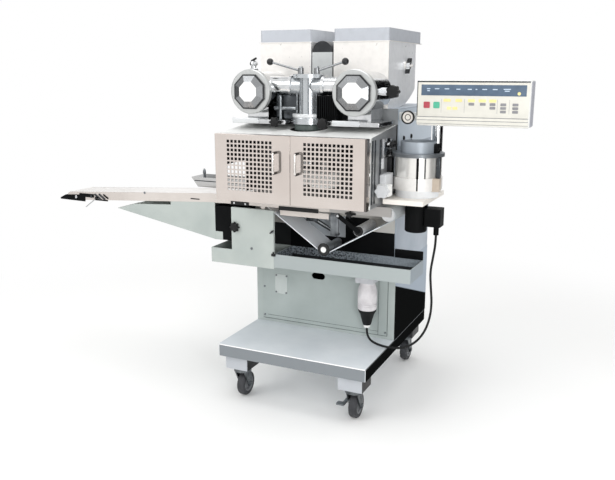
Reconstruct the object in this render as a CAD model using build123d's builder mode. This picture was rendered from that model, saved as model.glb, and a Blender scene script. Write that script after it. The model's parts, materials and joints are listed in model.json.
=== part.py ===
from build123d import *
import math
import os

os.makedirs("parts", exist_ok=True)

# Twin-hopper encrusting machine. Millimetres, +Z up, +X to the duster and panel side,
# -Y to the operator. The origin is on the floor under the middle of the deck.

# Fits
shaft_fit = 0.08
running_gap = 0.4
seat_gap = 0.3

# Deck
deck_width = 630
deck_depth = 780
deck_height = 241
deck_lip = 49
deck_sheet = 4
deck_edge_radius = 8

# Casters
caster_inset_x = 70
caster_inset_y = 70
caster_block_size = 100
wheel_radius = 50
wheel_width = 32
wheel_core_radius = 33
wheel_dish_radius = 26
wheel_hub_radius = 13
wheel_dish = 7.5
tread_clearance = 14
crown_radius = 36
crown_thickness = 20
kingpin_radius = 8
kingpin_length = 40
caster_trail = 22
fork_cheek = 5
fork_side_gap = 3
axle_radius = 5
axle_head_radius = 9
axle_head = 4
axle_boss = 4
fork_root_width = 51
fork_root = 4
pedal_arm = 58
pedal_width = 13
pedal_foot_width = 32
pedal_foot_length = 26
pedal_thickness = 6
pedal_corner = 5
pedal_height = 22

# Cabinet
cabinet_ledge = 330
cabinet_height = 304
cabinet_sheet = 3
access_panel_side_margin = 30
access_panel_margin = 14
access_panel_lap = 18
access_panel_sheet = 3
access_panel_corner = 4
hand_hole_x = -22
hand_hole_drop = 72
hand_hole_width = 60
hand_hole_height = 27
main_motor_radius = 75
main_motor_length = 280
main_motor_foot = 30
main_motor_foot_length = 168
main_motor_saddle = 25

# Drip tray and belt drive cover
housing_overhang = 15
tray_depth = 167
tray_reach = 429
tray_lip = 55
tray_sheet = 3
tray_drop = 3
cover_split_x = -137
cover_width = 193
cover_drop = 10
cover_rise = 176
cover_return = 12

# Conveyor
belt_rise = 275
belt_width = 140
belt_thickness = 3
belt_back_gap = 10
belt_side_gap = 2
rail_height = 36
rail_sheet = 3
outfeed_slope = 3.45
crown_x = -430
crown_bend_radius = 40
outfeed_length = 760
nose_radius = 11
snub_x = -190
snub_radius = 10
end_roller_x = 330
end_roller_radius = 25
tension_roller_x = 76
tension_roller_drop = 184
tension_roller_radius = 17
tension_flange_radius = 22
tension_flange = 8
drive_roller_radius = 20
drive_roller_share = 0.55
roller_axle_radius = 8
roller_plate_sheet = 5
roller_plate_left = -140
roller_plate_right = 310
roller_plate_margin = 20
nose_block_reach = 52
nose_cheek = 4
nose_cheek_length = 90
nose_wedge_gap = 6
nose_wedge_top = 12
nose_tip_top = 25
nose_tip_bottom = 32
nose_heel = 43
arm_length = 490
arm_sheet = 4
arm_root_drop = 155
arm_root_inset = 16
arm_step = 14
arm_taper = 90
arm_end_plate = 118
arm_tip_drop = 34
arm_seat_length = 206
arm_mount_width = 76
arm_mount_grip = 115
arm_mount_gap = 13

# Guard round the forming chamber
guard_gap = 9
guard_half_width = 305
door_height = 252
door_depth = 25
door_sheet = 2
door_edge = 1.5
door_split = 1.5
door_meeting_x = 10
grille_columns = 12
grille_pitch = 16.2
grille_hole = 10.6
grille_offset_x = 158
grille_rise = 136
door_handle_x = 44
door_handle_rise = 155
door_handle_height = 74
door_handle_reach = 30
door_handle_radius = 5
hinge_rod_radius = 3
hinge_barrel_radius = 5.5
hinge_inset = 6
hinge_back = 7
hinge_barrel_length = 40
hinge_lug = 10
hinge_end = 4
hinge_clear = 3
hinge_lug_relief = 1.5
hinge_leaf = 4
guard_sheet = 3
roof_rise = 29
product_exit_height = 127
product_exit_margin = 30
product_exit_behind = 45

# Forming head under the roof
head_half_width = 150
head_depth = 195
head_height = 55
head_drop = 41
head_bore_gap = 10
head_corner = 6
disc_radius = 60
disc_height = 60
disc_gap = 8
spindle_radius = 12
spindle_drop = 45
spindle_depth = 30

# Nozzle
nozzle_setback = 130
nozzle_lift = 2
nozzle_edge = 4
nozzle_radius = 38
nozzle_flange_radius = 61
nozzle_flange = 26
nozzle_height = 143
nozzle_cap_radius = 60
nozzle_cap = 14
nozzle_pipe_radius = 30
nozzle_bore_radius = 20
nozzle_ring_radius = 54
nozzle_ring = 25
nozzle_ring_edge = 6
nozzle_stub = 62
lever_stud_x = 33
lever_stud_radius = 5
lever_nut_radius = 9
lever_hub_radius = 11
lever_hub = 22
lever_rod_radius = 4
left_lever_reach = 130
right_lever_reach = 113
lever_rise = 34
lever_ball_radius = 13

# Pumps
pump_base_gap = 2
pump_base_thickness = 16
pump_base_half_width = 300
pump_base_depth = 187
nozzle_slot_radius = 72
pump_x = 210
pump_rise = 62
pump_radius = 75
pump_length = 195
pump_bore_radius = 55
pump_neck_radius = 66
pump_neck = 18
pump_foot_width = 90
pump_foot_length = 117
pump_foot_setback = 78
pump_back_wall = 25
nut_radius = 83
nut_plate = 5
nut_octagon_radius = 69
nut_octagon = 6
nut_cone = 12
nut_face_radius = 38
nut_edge = 3
nut_turn = 22.5
duct_radius = 34
duct_bore_radius = 24
duct_flange_radius = 40
duct_flange = 10
duct_rise = 22
knob_lug = 64
knob_lug_sink = 8
knob_lug_end = 11
knob_rise = 4
knob_setback = 87
knob_lug_thickness = 20
knob_lug_height = 28
knob_radius = 24
knob_thickness = 24
knob_stud_radius = 5
knob_stud = 20
knob_lobes = 7
knob_body_share = 0.82
knob_lobe_place = 0.72
knob_lobe_share = 0.28

# Hoppers
housing_above_base = 42
housing_sheet = 4
hopper_inner_x = 48
hopper_width = 222
hopper_setback = 8
hopper_depth = 343
hopper_height = 249
hopper_sheet = 3
hopper_flat = 123
hopper_bottom_radius = 395
flange_lap = 4
collar_depth = 410
collar_height = 46
paddle_setback = 202
paddle_rise = 158
paddle_shaft_radius = 9
paddle_radius = 118
paddle_width = 44
paddle_sheet = 5
paddle_place = 0.28
paddle_boss_radius = 18
paddle_boss = 6
wing_stud_radius = 5
wing_stud = 26
wing_hub_radius = 11
wing_hub = 16
wing_span = 34
wing_thickness = 5
centre_cover_half_width = 42
centre_cover_height = 251
centre_cover_depth = 270
centre_cover_sheet = 3

# Duster and control panel on the right
shelf_reach = 152
shelf_front = -246
shelf_back = 44
shelf_above_belt = 34
shelf_sheet = 6
shelf_lip = 18
pot_beside = 90
pot_y = -115
pot_radius = 88
pot_band_radius = 92
pot_band = 46
pot_height = 129
pot_foot_radius = 80
pot_foot = 28
pot_rim_radius = 97
pot_rim = 8
pot_wall = 2.5
pot_floor = 4
lid_sheet = 5
lid_neck_radius = 66
lid_neck = 41
duster_motor_radius = 42
duster_motor_length = 132
terminal_box_width = 62
terminal_box_depth = 60
terminal_box_height = 68
terminal_box_drop = 37
terminal_box_sink = 4
terminal_box_corner = 5
duster_motor_edge = 8
gland_radius = 10
gland_length = 34
gland_offset = 10
agitator_shaft_radius = 6
agitator_depth = 20
agitator_clear = 2
agitator_hub_radius = 14
agitator_hub = 40
agitator_reach = 78
agitator_blade = 8
post_beside = 124
post_y = 20
post_radius = 20
post_height = 408
post_collar = 8
sleeve_height = 60
sleeve_radius = 28
sleeve_below_top = 22
panel_beside = 100
panel_width = 392
panel_height = 159
panel_depth = 80
panel_front = -192
panel_below_post_top = 143
panel_edge_radius = 8
panel_wall = 5
panel_arm_width = 44
panel_arm_height = 40
button_size = 22
button_travel = 2.5
button_pocket = 9
button_margin = 0.4
button_corner = 3
stop_button_x = 37
start_button_x = 72
button_rise = 73
adjuster_block = 40
adjuster_setback = 80
adjuster_rise = 62
adjuster_radius = 25
adjuster_thickness = 24
adjuster_gap = 2
adjuster_lobes = 6
side_tray_reach = 325
side_tray_taper = 34
side_tray_height = 42
side_tray_width = 110
side_tray_below_belt = 8
side_tray_back = 15

# Cord from the duster motor to the plug on the cabinet
cord_radius = 4.5
socket_inset = 102
socket_width = 78
socket_reach = 86
socket_height = 44
socket_below_top = 5
socket_corner = 6
plug_radius = 39
plug_length = 118
boot_length = 64
boot_top_radius = 37
boot_end_radius = 17
plug_tail_radius = 13
plug_tail = 12
plug_edge = 3

# Levels and lines that follow from the sizes above
half_width = deck_width / 2
pot_x = half_width + pot_beside
post_x = half_width + post_beside
panel_left = half_width + panel_beside
socket_x = half_width - socket_inset
deck_front = -deck_depth / 2
deck_back = deck_depth / 2
deck_underside = deck_height - deck_sheet
caster_x = half_width - caster_inset_x
caster_y = deck_depth / 2 - caster_inset_y
crown_bottom = 2 * wheel_radius + tread_clearance
crown_top = crown_bottom + crown_thickness
block_bottom = crown_top + running_gap
cabinet_front = deck_front + cabinet_ledge
cabinet_top = deck_height + cabinet_height
housing_front = cabinet_front - housing_overhang
tray_front = housing_front - tray_depth
tray_bottom = cabinet_top - tray_drop
belt_top = cabinet_top + belt_rise
belt_back = housing_front - belt_back_gap
belt_front = belt_back - belt_width
bed_back = belt_back + belt_side_gap + rail_sheet
bed_front = belt_front - belt_side_gap - rail_sheet
guard_bottom = belt_top + guard_gap
guard_top = guard_bottom + door_height
guard_back_top = guard_top + roof_rise
door_back = deck_front + door_depth
hinge_x = guard_half_width - hinge_inset
hinge_y = door_back + hinge_back
guard_panel_front = hinge_y + hinge_barrel_radius + hinge_clear
pump_base_bottom = guard_back_top + pump_base_gap
pump_base_top = pump_base_bottom + pump_base_thickness
housing_top = pump_base_top + housing_above_base
pump_z = housing_top + pump_rise
nozzle_y = housing_front - nozzle_setback
hopper_front = housing_front - hopper_setback
hopper_back = hopper_front + hopper_depth
hopper_top = housing_top + hopper_height
hopper_outer_x = hopper_inner_x + hopper_width
pump_front = hopper_front - pump_length
nozzle_flange_bottom = pump_base_bottom + nozzle_lift
nozzle_bottom = nozzle_flange_bottom + nozzle_flange
nozzle_top = nozzle_bottom + nozzle_height
lever_z = nozzle_top + nozzle_cap + running_gap
shelf_top = belt_top + shelf_above_belt
post_top = shelf_top + post_height
sleeve_bottom = post_top - sleeve_below_top - sleeve_height
panel_bottom = post_top - panel_below_post_top
paddle_y = hopper_front + paddle_setback
paddle_z = housing_top + paddle_rise


def wall_plane(y):
    # An upright plane facing the operator, with X to the right and Z up.
    return Plane.XZ.offset(-y)


def side_plane(x):
    # An upright plane facing +X, with Y to the right and Z up.
    return Plane.YZ.offset(x)


def save(builder, name):
    builder.part.label = name
    export_step(builder.part, "parts/" + name + ".step")


# Deck: a folded pan, lips down
with BuildPart() as deck:
    with BuildSketch(Plane.XY.offset(deck_height - deck_lip)):
        RectangleRounded(deck_width, deck_depth, deck_edge_radius)
    extrude(amount=deck_lip)
    with BuildSketch(Plane.XY.offset(deck_height - deck_lip)):
        Rectangle(deck_width - 2 * deck_sheet, deck_depth - 2 * deck_sheet)
    extrude(amount=deck_lip - deck_sheet, mode=Mode.SUBTRACT)
save(deck, "deck")

# Caster blocks under the deck corners, bored for the kingpins
with BuildPart() as caster_blocks:
    with BuildSketch(Plane.XY.offset(block_bottom)):
        with GridLocations(2 * caster_x, 2 * caster_y, 2, 2):
            RectangleRounded(caster_block_size, caster_block_size, deck_edge_radius / 2)
    extrude(amount=deck_underside - block_bottom)
    with BuildSketch(Plane.XY.offset(block_bottom)):
        with GridLocations(2 * caster_x, 2 * caster_y, 2, 2):
            Circle(kingpin_radius + shaft_fit)
    extrude(amount=kingpin_length + seat_gap, mode=Mode.SUBTRACT)
save(caster_blocks, "caster_blocks")

# Casters: a swivelling fork and a wheel at each corner, all trailing to the back
caster_corners = {
    "front_left": (-1, -1),
    "front_right": (1, -1),
    "rear_left": (-1, 1),
    "rear_right": (1, 1),
}
cheek_inside = wheel_width / 2 + fork_side_gap
cheek_outside = cheek_inside + fork_cheek

for corner, (sign_x, sign_y) in caster_corners.items():
    pivot_x = sign_x * caster_x
    pivot_y = sign_y * caster_y
    axle_y = pivot_y + caster_trail
    pedal_x = pivot_x - cheek_outside - pedal_width - running_gap
    with BuildPart() as fork:
        with BuildSketch(Plane.XY.offset(crown_bottom)):
            with Locations((pivot_x, pivot_y)):
                Circle(crown_radius)
        extrude(amount=crown_thickness)
        with BuildSketch(Plane.XY.offset(crown_top)):
            with Locations((pivot_x, pivot_y)):
                Circle(kingpin_radius)
        extrude(amount=kingpin_length)
        for cheek_x in (pivot_x - cheek_outside, pivot_x + cheek_inside):
            with BuildSketch(side_plane(cheek_x)):
                with Locations((axle_y, wheel_radius)):
                    Circle(axle_head_radius + axle_boss)
                with Locations((pivot_y, crown_bottom + fork_root / 2)):
                    Rectangle(fork_root_width, fork_root)
                make_hull()
            extrude(amount=fork_cheek)
        with BuildSketch(side_plane(pivot_x - cheek_outside)):
            with Locations((axle_y, wheel_radius)):
                Circle(axle_radius)
        extrude(amount=2 * cheek_outside)
        for head_x in (pivot_x - cheek_outside - axle_head, pivot_x + cheek_outside):
            with BuildSketch(side_plane(head_x)):
                with Locations((axle_y, wheel_radius)):
                    RegularPolygon(axle_head_radius, 6)
            extrude(amount=axle_head)
        if corner == "front_right":
            with BuildSketch(side_plane(pedal_x)):
                with Locations((axle_y, wheel_radius + pedal_height)):
                    Circle(axle_radius)
            extrude(amount=pedal_width + running_gap)
    save(fork, "caster_fork_" + corner)
    with BuildPart() as wheel:
        with BuildSketch(side_plane(pivot_x - wheel_width / 2)):
            with Locations((axle_y, wheel_radius)):
                Circle(wheel_radius)
                Circle(wheel_core_radius, mode=Mode.SUBTRACT)
        extrude(amount=wheel_width)
        fillet(wheel.edges().filter_by(GeomType.CIRCLE).sort_by(SortBy.RADIUS)[-2:], wheel_width / 6)
    with BuildPart() as core:
        with BuildSketch(side_plane(pivot_x - wheel_width / 2)):
            with Locations((axle_y, wheel_radius)):
                Circle(wheel_core_radius)
                Circle(axle_radius + shaft_fit, mode=Mode.SUBTRACT)
        extrude(amount=wheel_width)
        for dish_x in (pivot_x - wheel_width / 2, pivot_x + wheel_width / 2 - wheel_dish):
            with BuildSketch(side_plane(dish_x)):
                with Locations((axle_y, wheel_radius)):
                    Circle(wheel_dish_radius)
                    Circle(wheel_hub_radius, mode=Mode.SUBTRACT)
            extrude(amount=wheel_dish, mode=Mode.SUBTRACT)
    tyre_and_core = Compound(children=[wheel.part, core.part])
    tyre_and_core.label = "caster_wheel_" + corner
    export_step(tyre_and_core, "parts/caster_wheel_" + corner + ".step")

# Brake pedal on the front right fork
brake_x = caster_x - cheek_outside - pedal_width - running_gap
brake_y = -caster_y + caster_trail
brake_z = wheel_radius + pedal_height
with BuildPart() as brake_pedal:
    with BuildSketch(side_plane(brake_x)):
        with Locations((brake_y, brake_z)):
            Circle(2 * axle_radius)
        with Locations((brake_y - pedal_arm / 2, brake_z)):
            Rectangle(pedal_arm, pedal_thickness)
        with Locations((brake_y, brake_z)):
            Circle(axle_radius + shaft_fit, mode=Mode.SUBTRACT)
    extrude(amount=pedal_width)
    with BuildSketch(Plane.XY.offset(brake_z - pedal_thickness / 2)):
        with Locations((brake_x + pedal_width - pedal_foot_width / 2, brake_y - pedal_arm)):
            RectangleRounded(pedal_foot_width, pedal_foot_length, pedal_corner)
    extrude(amount=pedal_thickness)
save(brake_pedal, "brake_pedal")

# Cabinet: a sheet shell on the deck, with a window behind the access panel
cabinet_depth = deck_back - cabinet_front
cabinet_middle = (deck_back + cabinet_front) / 2
access_half_width = half_width - access_panel_side_margin
access_bottom = deck_height + access_panel_margin
access_top = cabinet_top - access_panel_margin
access_middle = (access_bottom + access_top) / 2
with BuildPart() as cabinet_shell:
    with BuildSketch(Plane.XY.offset(deck_height)):
        with Locations((0, cabinet_middle)):
            Rectangle(deck_width, cabinet_depth)
    extrude(amount=cabinet_height)
    with BuildSketch(Plane.XY.offset(deck_height)):
        with Locations((0, cabinet_middle)):
            Rectangle(deck_width - 2 * cabinet_sheet, cabinet_depth - 2 * cabinet_sheet)
    extrude(amount=cabinet_height - cabinet_sheet, mode=Mode.SUBTRACT)
    with BuildSketch(wall_plane(cabinet_front + cabinet_sheet)):
        with Locations((0, access_middle)):
            window_width = 2 * (access_half_width - access_panel_lap)
            Rectangle(window_width, access_top - access_bottom - 2 * access_panel_lap)
    extrude(amount=cabinet_sheet, mode=Mode.SUBTRACT)
save(cabinet_shell, "cabinet_shell")

# Access panel over the window, with a hand hole
with BuildPart() as access_panel:
    with BuildSketch(wall_plane(cabinet_front)):
        with Locations((0, access_middle)):
            RectangleRounded(2 * access_half_width, access_top - access_bottom, access_panel_corner)
        with Locations((hand_hole_x, cabinet_top - hand_hole_drop)):
            SlotOverall(hand_hole_width, hand_hole_height, mode=Mode.SUBTRACT)
    extrude(amount=access_panel_sheet)
save(access_panel, "access_panel")

# Main motor inside the cabinet, standing on the deck
motor_axis_z = deck_height + main_motor_foot + main_motor_radius
with BuildPart() as main_motor:
    with BuildSketch(side_plane(-main_motor_length / 2)):
        with Locations((cabinet_middle, motor_axis_z)):
            Circle(main_motor_radius)
    extrude(amount=main_motor_length)
    with BuildSketch(Plane.XY.offset(deck_height)):
        with Locations((0, cabinet_middle)):
            Rectangle(main_motor_foot_length, 2 * main_motor_radius)
    extrude(amount=main_motor_foot + main_motor_saddle)
save(main_motor, "main_motor")

# Upright housing: a closed sheet box on the cabinet
housing_depth = deck_back - housing_front
housing_middle = (deck_back + housing_front) / 2
with BuildPart() as main_housing:
    with BuildSketch(Plane.XY.offset(cabinet_top)):
        with Locations((0, housing_middle)):
            RectangleRounded(deck_width, housing_depth, deck_edge_radius)
    extrude(amount=housing_top - cabinet_top)
    with BuildSketch(Plane.XY.offset(cabinet_top)):
        with Locations((0, housing_middle)):
            Rectangle(deck_width - 2 * housing_sheet, housing_depth - 2 * housing_sheet)
    extrude(amount=housing_top - cabinet_top - housing_sheet, mode=Mode.SUBTRACT)
save(main_housing, "main_housing")

# Drip tray in front of the housing
tray_middle = (tray_front + housing_front) / 2
tray_width = tray_reach - cover_split_x
with BuildPart() as catch_tray:
    with BuildSketch(Plane.XY.offset(tray_bottom)):
        with Locations((cover_split_x + tray_width / 2, tray_middle)):
            Rectangle(tray_width, tray_depth)
    extrude(amount=tray_lip)
    with BuildSketch(Plane.XY.offset(tray_bottom + tray_sheet)):
        with Locations((cover_split_x + tray_width / 2, tray_middle)):
            Rectangle(tray_width - 2 * tray_sheet, tray_depth - 2 * tray_sheet)
    extrude(amount=tray_lip - tray_sheet, mode=Mode.SUBTRACT)
save(catch_tray, "catch_tray")

# Belt drive cover: the left pan, with an upright front plate folded back at its edges
cover_bottom = cabinet_top - cover_drop
cover_lip_top = tray_bottom + tray_lip
pan_width = cover_split_x + tray_reach
pan_middle = cover_split_x - pan_width / 2
cover_middle = cover_split_x - cover_width / 2
with BuildPart() as drive_cover:
    with BuildSketch(Plane.XY.offset(cover_bottom)):
        with Locations((pan_middle, tray_middle)):
            Rectangle(pan_width, tray_depth)
    extrude(amount=cover_lip_top - cover_bottom)
    with BuildSketch(Plane.XY.offset(cover_bottom + tray_sheet)):
        with Locations((pan_middle, tray_middle)):
            Rectangle(pan_width - 2 * tray_sheet, tray_depth - 2 * tray_sheet)
    extrude(amount=cover_lip_top - cover_bottom, mode=Mode.SUBTRACT)
    with BuildSketch(wall_plane(tray_front + cover_return)):
        with Locations((cover_middle, cover_lip_top + cover_rise / 2)):
            Rectangle(cover_width, cover_rise)
    extrude(amount=cover_return)
    with BuildSketch(wall_plane(tray_front + cover_return)):
        with Locations((cover_middle, cover_lip_top + cover_rise / 2 - tray_sheet / 2)):
            Rectangle(cover_width - 2 * tray_sheet, cover_rise - tray_sheet)
    extrude(amount=cover_return - tray_sheet, mode=Mode.SUBTRACT)
save(drive_cover, "drive_cover")

# Belt route: level under the guard, down the outfeed, and a V under the chamber on its way back
slope = math.radians(outfeed_slope)
running_z = belt_top - belt_thickness - running_gap


def outfeed_point(distance, depth):
    # A point this far down the outfeed from its crown, and this far below the belt's top face.
    x = crown_x - distance * math.cos(slope) + depth * math.sin(slope)
    z = belt_top - distance * math.sin(slope) - depth * math.cos(slope)
    return x, z


def crown_point(depth):
    return crown_x + depth * math.tan(slope / 2), belt_top - depth


nose_x, nose_z = outfeed_point(outfeed_length, belt_thickness + running_gap + nose_radius)
return_depth = 2 * (belt_thickness + running_gap + nose_radius)
snub_z = belt_top - return_depth - running_gap - snub_radius
end_roller_z = running_z - end_roller_radius
tension_roller_z = belt_top - tension_roller_drop
belt_turns = [
    (nose_x, nose_z, nose_radius, 1),
    (crown_x, running_z - crown_bend_radius, crown_bend_radius, 1),
    (end_roller_x, end_roller_z, end_roller_radius, 1),
    (tension_roller_x, tension_roller_z, tension_roller_radius, 1),
    (snub_x, snub_z, snub_radius + belt_thickness + 2 * running_gap, -1),
]


def belt_contacts(lift):
    # Where a path this far outside the running faces meets and leaves each turn, clockwise round the loop.
    headings = []
    for i, (x, z, radius, side) in enumerate(belt_turns):
        next_x, next_z, next_radius, next_side = belt_turns[(i + 1) % len(belt_turns)]
        here = side * radius + lift
        there = next_side * next_radius + lift
        span = math.hypot(next_x - x, next_z - z)
        headings.append(math.atan2(next_z - z, next_x - x) - math.asin((here - there) / span))
    contacts = []
    for i, (x, z, radius, side) in enumerate(belt_turns):
        reach = side * radius + lift
        angle_in = headings[i - 1] + math.pi / 2
        angle_out = headings[i] + math.pi / 2
        turn = (angle_out - angle_in + math.pi) % (2 * math.pi) - math.pi
        if side > 0 and turn > 0:
            turn -= 2 * math.pi
        angles = (angle_in, angle_in + turn / 2, angle_in + turn)
        contacts.append([(x + reach * math.cos(a), z + reach * math.sin(a)) for a in angles])
    return contacts


def belt_wire(contacts):
    for i, (meet, middle, leave) in enumerate(contacts):
        ThreePointArc(meet, middle, leave)
        Line(leave, contacts[(i + 1) % len(contacts)][0])


inner_face = belt_contacts(running_gap)
outer_face = belt_contacts(running_gap + belt_thickness)
with BuildPart() as conveyor_belt:
    with BuildSketch(wall_plane(belt_back)):
        with BuildLine():
            belt_wire(outer_face)
        make_face()
        with BuildLine():
            belt_wire(inner_face)
        make_face(mode=Mode.SUBTRACT)
    extrude(amount=belt_width)
save(conveyor_belt, "conveyor_belt")

# Conveyor bed: a bent channel with rails level with the belt, the nose bar, snub bar and end axle


def bed_outline(right_x, top_depth, bottom_depth, length):
    return [
        (right_x, belt_top - top_depth),
        crown_point(top_depth),
        outfeed_point(length, top_depth),
        outfeed_point(length, bottom_depth),
        crown_point(bottom_depth),
        (right_x, belt_top - bottom_depth),
    ]


plate_depth = belt_thickness + 2 * running_gap
bed_right = end_roller_x - end_roller_radius - 2 * running_gap
rail_right = end_roller_x + end_roller_radius / 2
bed_width = bed_back - bed_front
with BuildPart() as conveyor_bed:
    for rail_back in (bed_back, bed_front + rail_sheet):
        with BuildSketch(wall_plane(rail_back)):
            with BuildLine():
                Polyline(*bed_outline(rail_right, 0, rail_height, outfeed_length), close=True)
            make_face()
        extrude(amount=rail_sheet)
    with BuildSketch(wall_plane(bed_back)):
        with BuildLine():
            plate_length = outfeed_length - 2 * nose_radius
            Polyline(*bed_outline(bed_right, plate_depth, plate_depth + rail_sheet, plate_length), close=True)
        make_face()
    extrude(amount=bed_width)
    with BuildSketch(wall_plane(bed_back)):
        with Locations((nose_x, nose_z)):
            Circle(nose_radius)
        with Locations((snub_x, snub_z)):
            Circle(snub_radius)
        with Locations((end_roller_x, end_roller_z)):
            Circle(roller_axle_radius)
    extrude(amount=bed_width)
save(conveyor_bed, "conveyor_bed")

# Nose block: dark cheeks on the rails and the transfer wedge past the belt's end
wedge_start = outfeed_length + nose_radius + belt_thickness + nose_wedge_gap
wedge_end = outfeed_length + nose_block_reach
cheek_start = outfeed_length - nose_cheek_length
with BuildPart() as nose_block:
    for cheek_back in (bed_back + nose_cheek, bed_front):
        with BuildSketch(wall_plane(cheek_back)):
            with BuildLine():
                Polyline(
                    outfeed_point(cheek_start, nose_wedge_top),
                    outfeed_point(wedge_start, nose_wedge_top),
                    outfeed_point(wedge_end, nose_tip_top),
                    outfeed_point(wedge_end, nose_tip_bottom),
                    outfeed_point(cheek_start, nose_heel),
                    close=True,
                )
            make_face()
        extrude(amount=nose_cheek)
    with BuildSketch(wall_plane(bed_back + nose_cheek)):
        with BuildLine():
            Polyline(
                outfeed_point(wedge_start, nose_wedge_top),
                outfeed_point(wedge_end, nose_tip_top),
                outfeed_point(wedge_end, nose_tip_bottom),
                outfeed_point(wedge_start, nose_tip_bottom),
                close=True,
            )
        make_face()
    extrude(amount=bed_width + 2 * nose_cheek)
save(nose_block, "nose_block")

# Outfeed arm: a tapered channel under the rails
arm_root_x = crown_x + arm_root_inset
arm_root_z = belt_top - rail_height - arm_root_drop
arm_top_line = outfeed_point(arm_seat_length, rail_height)
arm_notch = outfeed_point(arm_seat_length, rail_height + arm_step)
arm_tip_top = outfeed_point(arm_length - arm_taper, rail_height + arm_step)
arm_tip = outfeed_point(arm_length, rail_height + arm_tip_drop)
with BuildPart() as outfeed_arm:
    for plate_back in (bed_back, bed_front + arm_sheet):
        with BuildSketch(wall_plane(plate_back)):
            with BuildLine():
                Polyline(
                    (arm_root_x, belt_top - rail_height),
                    crown_point(rail_height),
                    arm_top_line,
                    arm_notch,
                    arm_tip_top,
                    arm_tip,
                    (arm_root_x, arm_root_z),
                    close=True,
                )
            make_face()
        extrude(amount=arm_sheet)
    with BuildSketch(wall_plane(bed_back)):
        with BuildLine():
            Polyline(
                arm_tip,
                (arm_root_x, arm_root_z),
                (arm_root_x, arm_root_z + 2 * arm_sheet),
                (arm_tip[0], arm_tip[1] + arm_sheet / 2),
                close=True,
            )
        make_face()
    extrude(amount=bed_width)
    with BuildSketch(side_plane(arm_root_x - arm_sheet)):
        with Locations(((bed_front + bed_back) / 2, arm_root_z + arm_end_plate / 2)):
            Rectangle(bed_width, arm_end_plate)
    extrude(amount=arm_sheet)
save(outfeed_arm, "outfeed_arm")

# Arm mount: the dark block that ties the outfeed arm to the housing's left side
with BuildPart() as arm_mount:
    with BuildSketch(Plane.XY.offset(arm_root_z)):
        with BuildLine():
            Polyline(
                (arm_root_x, bed_front),
                (arm_root_x + arm_mount_width, bed_front),
                (arm_root_x + arm_mount_width, housing_front),
                (-half_width, housing_front),
                (-half_width, housing_front + arm_mount_grip),
                (arm_root_x, housing_front + arm_mount_grip),
                close=True,
            )
        make_face()
    extrude(amount=arm_root_drop - arm_mount_gap)
save(arm_mount, "arm_mount")

# Roller plate: the dark plate on the housing that carries the two lower rollers
tangent_meet = inner_face[2][2]
tangent_leave = inner_face[3][0]
share = drive_roller_share
touch_x = tangent_leave[0] + share * (tangent_meet[0] - tangent_leave[0])
touch_z = tangent_leave[1] + share * (tangent_meet[1] - tangent_leave[1])
tangent_angle = math.atan2(tangent_meet[1] - tangent_leave[1], tangent_meet[0] - tangent_leave[0])
drive_offset = drive_roller_radius + running_gap
drive_roller_x = touch_x - drive_offset * math.sin(tangent_angle)
drive_roller_z = touch_z + drive_offset * math.cos(tangent_angle)
plate_bottom = tray_bottom + tray_lip
plate_top = drive_roller_z + roller_plate_margin
with BuildPart() as roller_plate:
    with BuildSketch(wall_plane(housing_front)):
        with Locations(((roller_plate_left + roller_plate_right) / 2, (plate_bottom + plate_top) / 2)):
            Rectangle(roller_plate_right - roller_plate_left, plate_top - plate_bottom)
    extrude(amount=roller_plate_sheet)
    with BuildSketch(wall_plane(housing_front)):
        with Locations((tension_roller_x, tension_roller_z), (drive_roller_x, drive_roller_z)):
            Circle(roller_axle_radius)
    extrude(amount=housing_front - belt_front)
save(roller_plate, "roller_plate")

# Rollers that the belt runs round
roller_back = belt_back
roller_length = belt_width
with BuildPart() as end_roller:
    with BuildSketch(wall_plane(roller_back)):
        with Locations((end_roller_x, end_roller_z)):
            Circle(end_roller_radius)
            Circle(roller_axle_radius + shaft_fit, mode=Mode.SUBTRACT)
    extrude(amount=roller_length)
save(end_roller, "end_roller")

with BuildPart() as tension_roller:
    with BuildSketch(wall_plane(roller_back)):
        with Locations((tension_roller_x, tension_roller_z)):
            Circle(tension_roller_radius)
    extrude(amount=roller_length + belt_side_gap)
    with BuildSketch(wall_plane(belt_front - belt_side_gap)):
        with Locations((tension_roller_x, tension_roller_z)):
            Circle(tension_flange_radius)
    extrude(amount=tension_flange)
    with BuildSketch(wall_plane(roller_back)):
        with Locations((tension_roller_x, tension_roller_z)):
            Circle(roller_axle_radius + shaft_fit)
    extrude(amount=roller_length + running_gap, mode=Mode.SUBTRACT)
save(tension_roller, "tension_roller")

with BuildPart() as drive_roller:
    with BuildSketch(wall_plane(roller_back)):
        with Locations((drive_roller_x, drive_roller_z)):
            Circle(drive_roller_radius)
    extrude(amount=roller_length + belt_side_gap)
    with BuildSketch(wall_plane(roller_back)):
        with Locations((drive_roller_x, drive_roller_z)):
            Circle(roller_axle_radius + shaft_fit)
    extrude(amount=roller_length + running_gap, mode=Mode.SUBTRACT)
save(drive_roller, "drive_roller")

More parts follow.
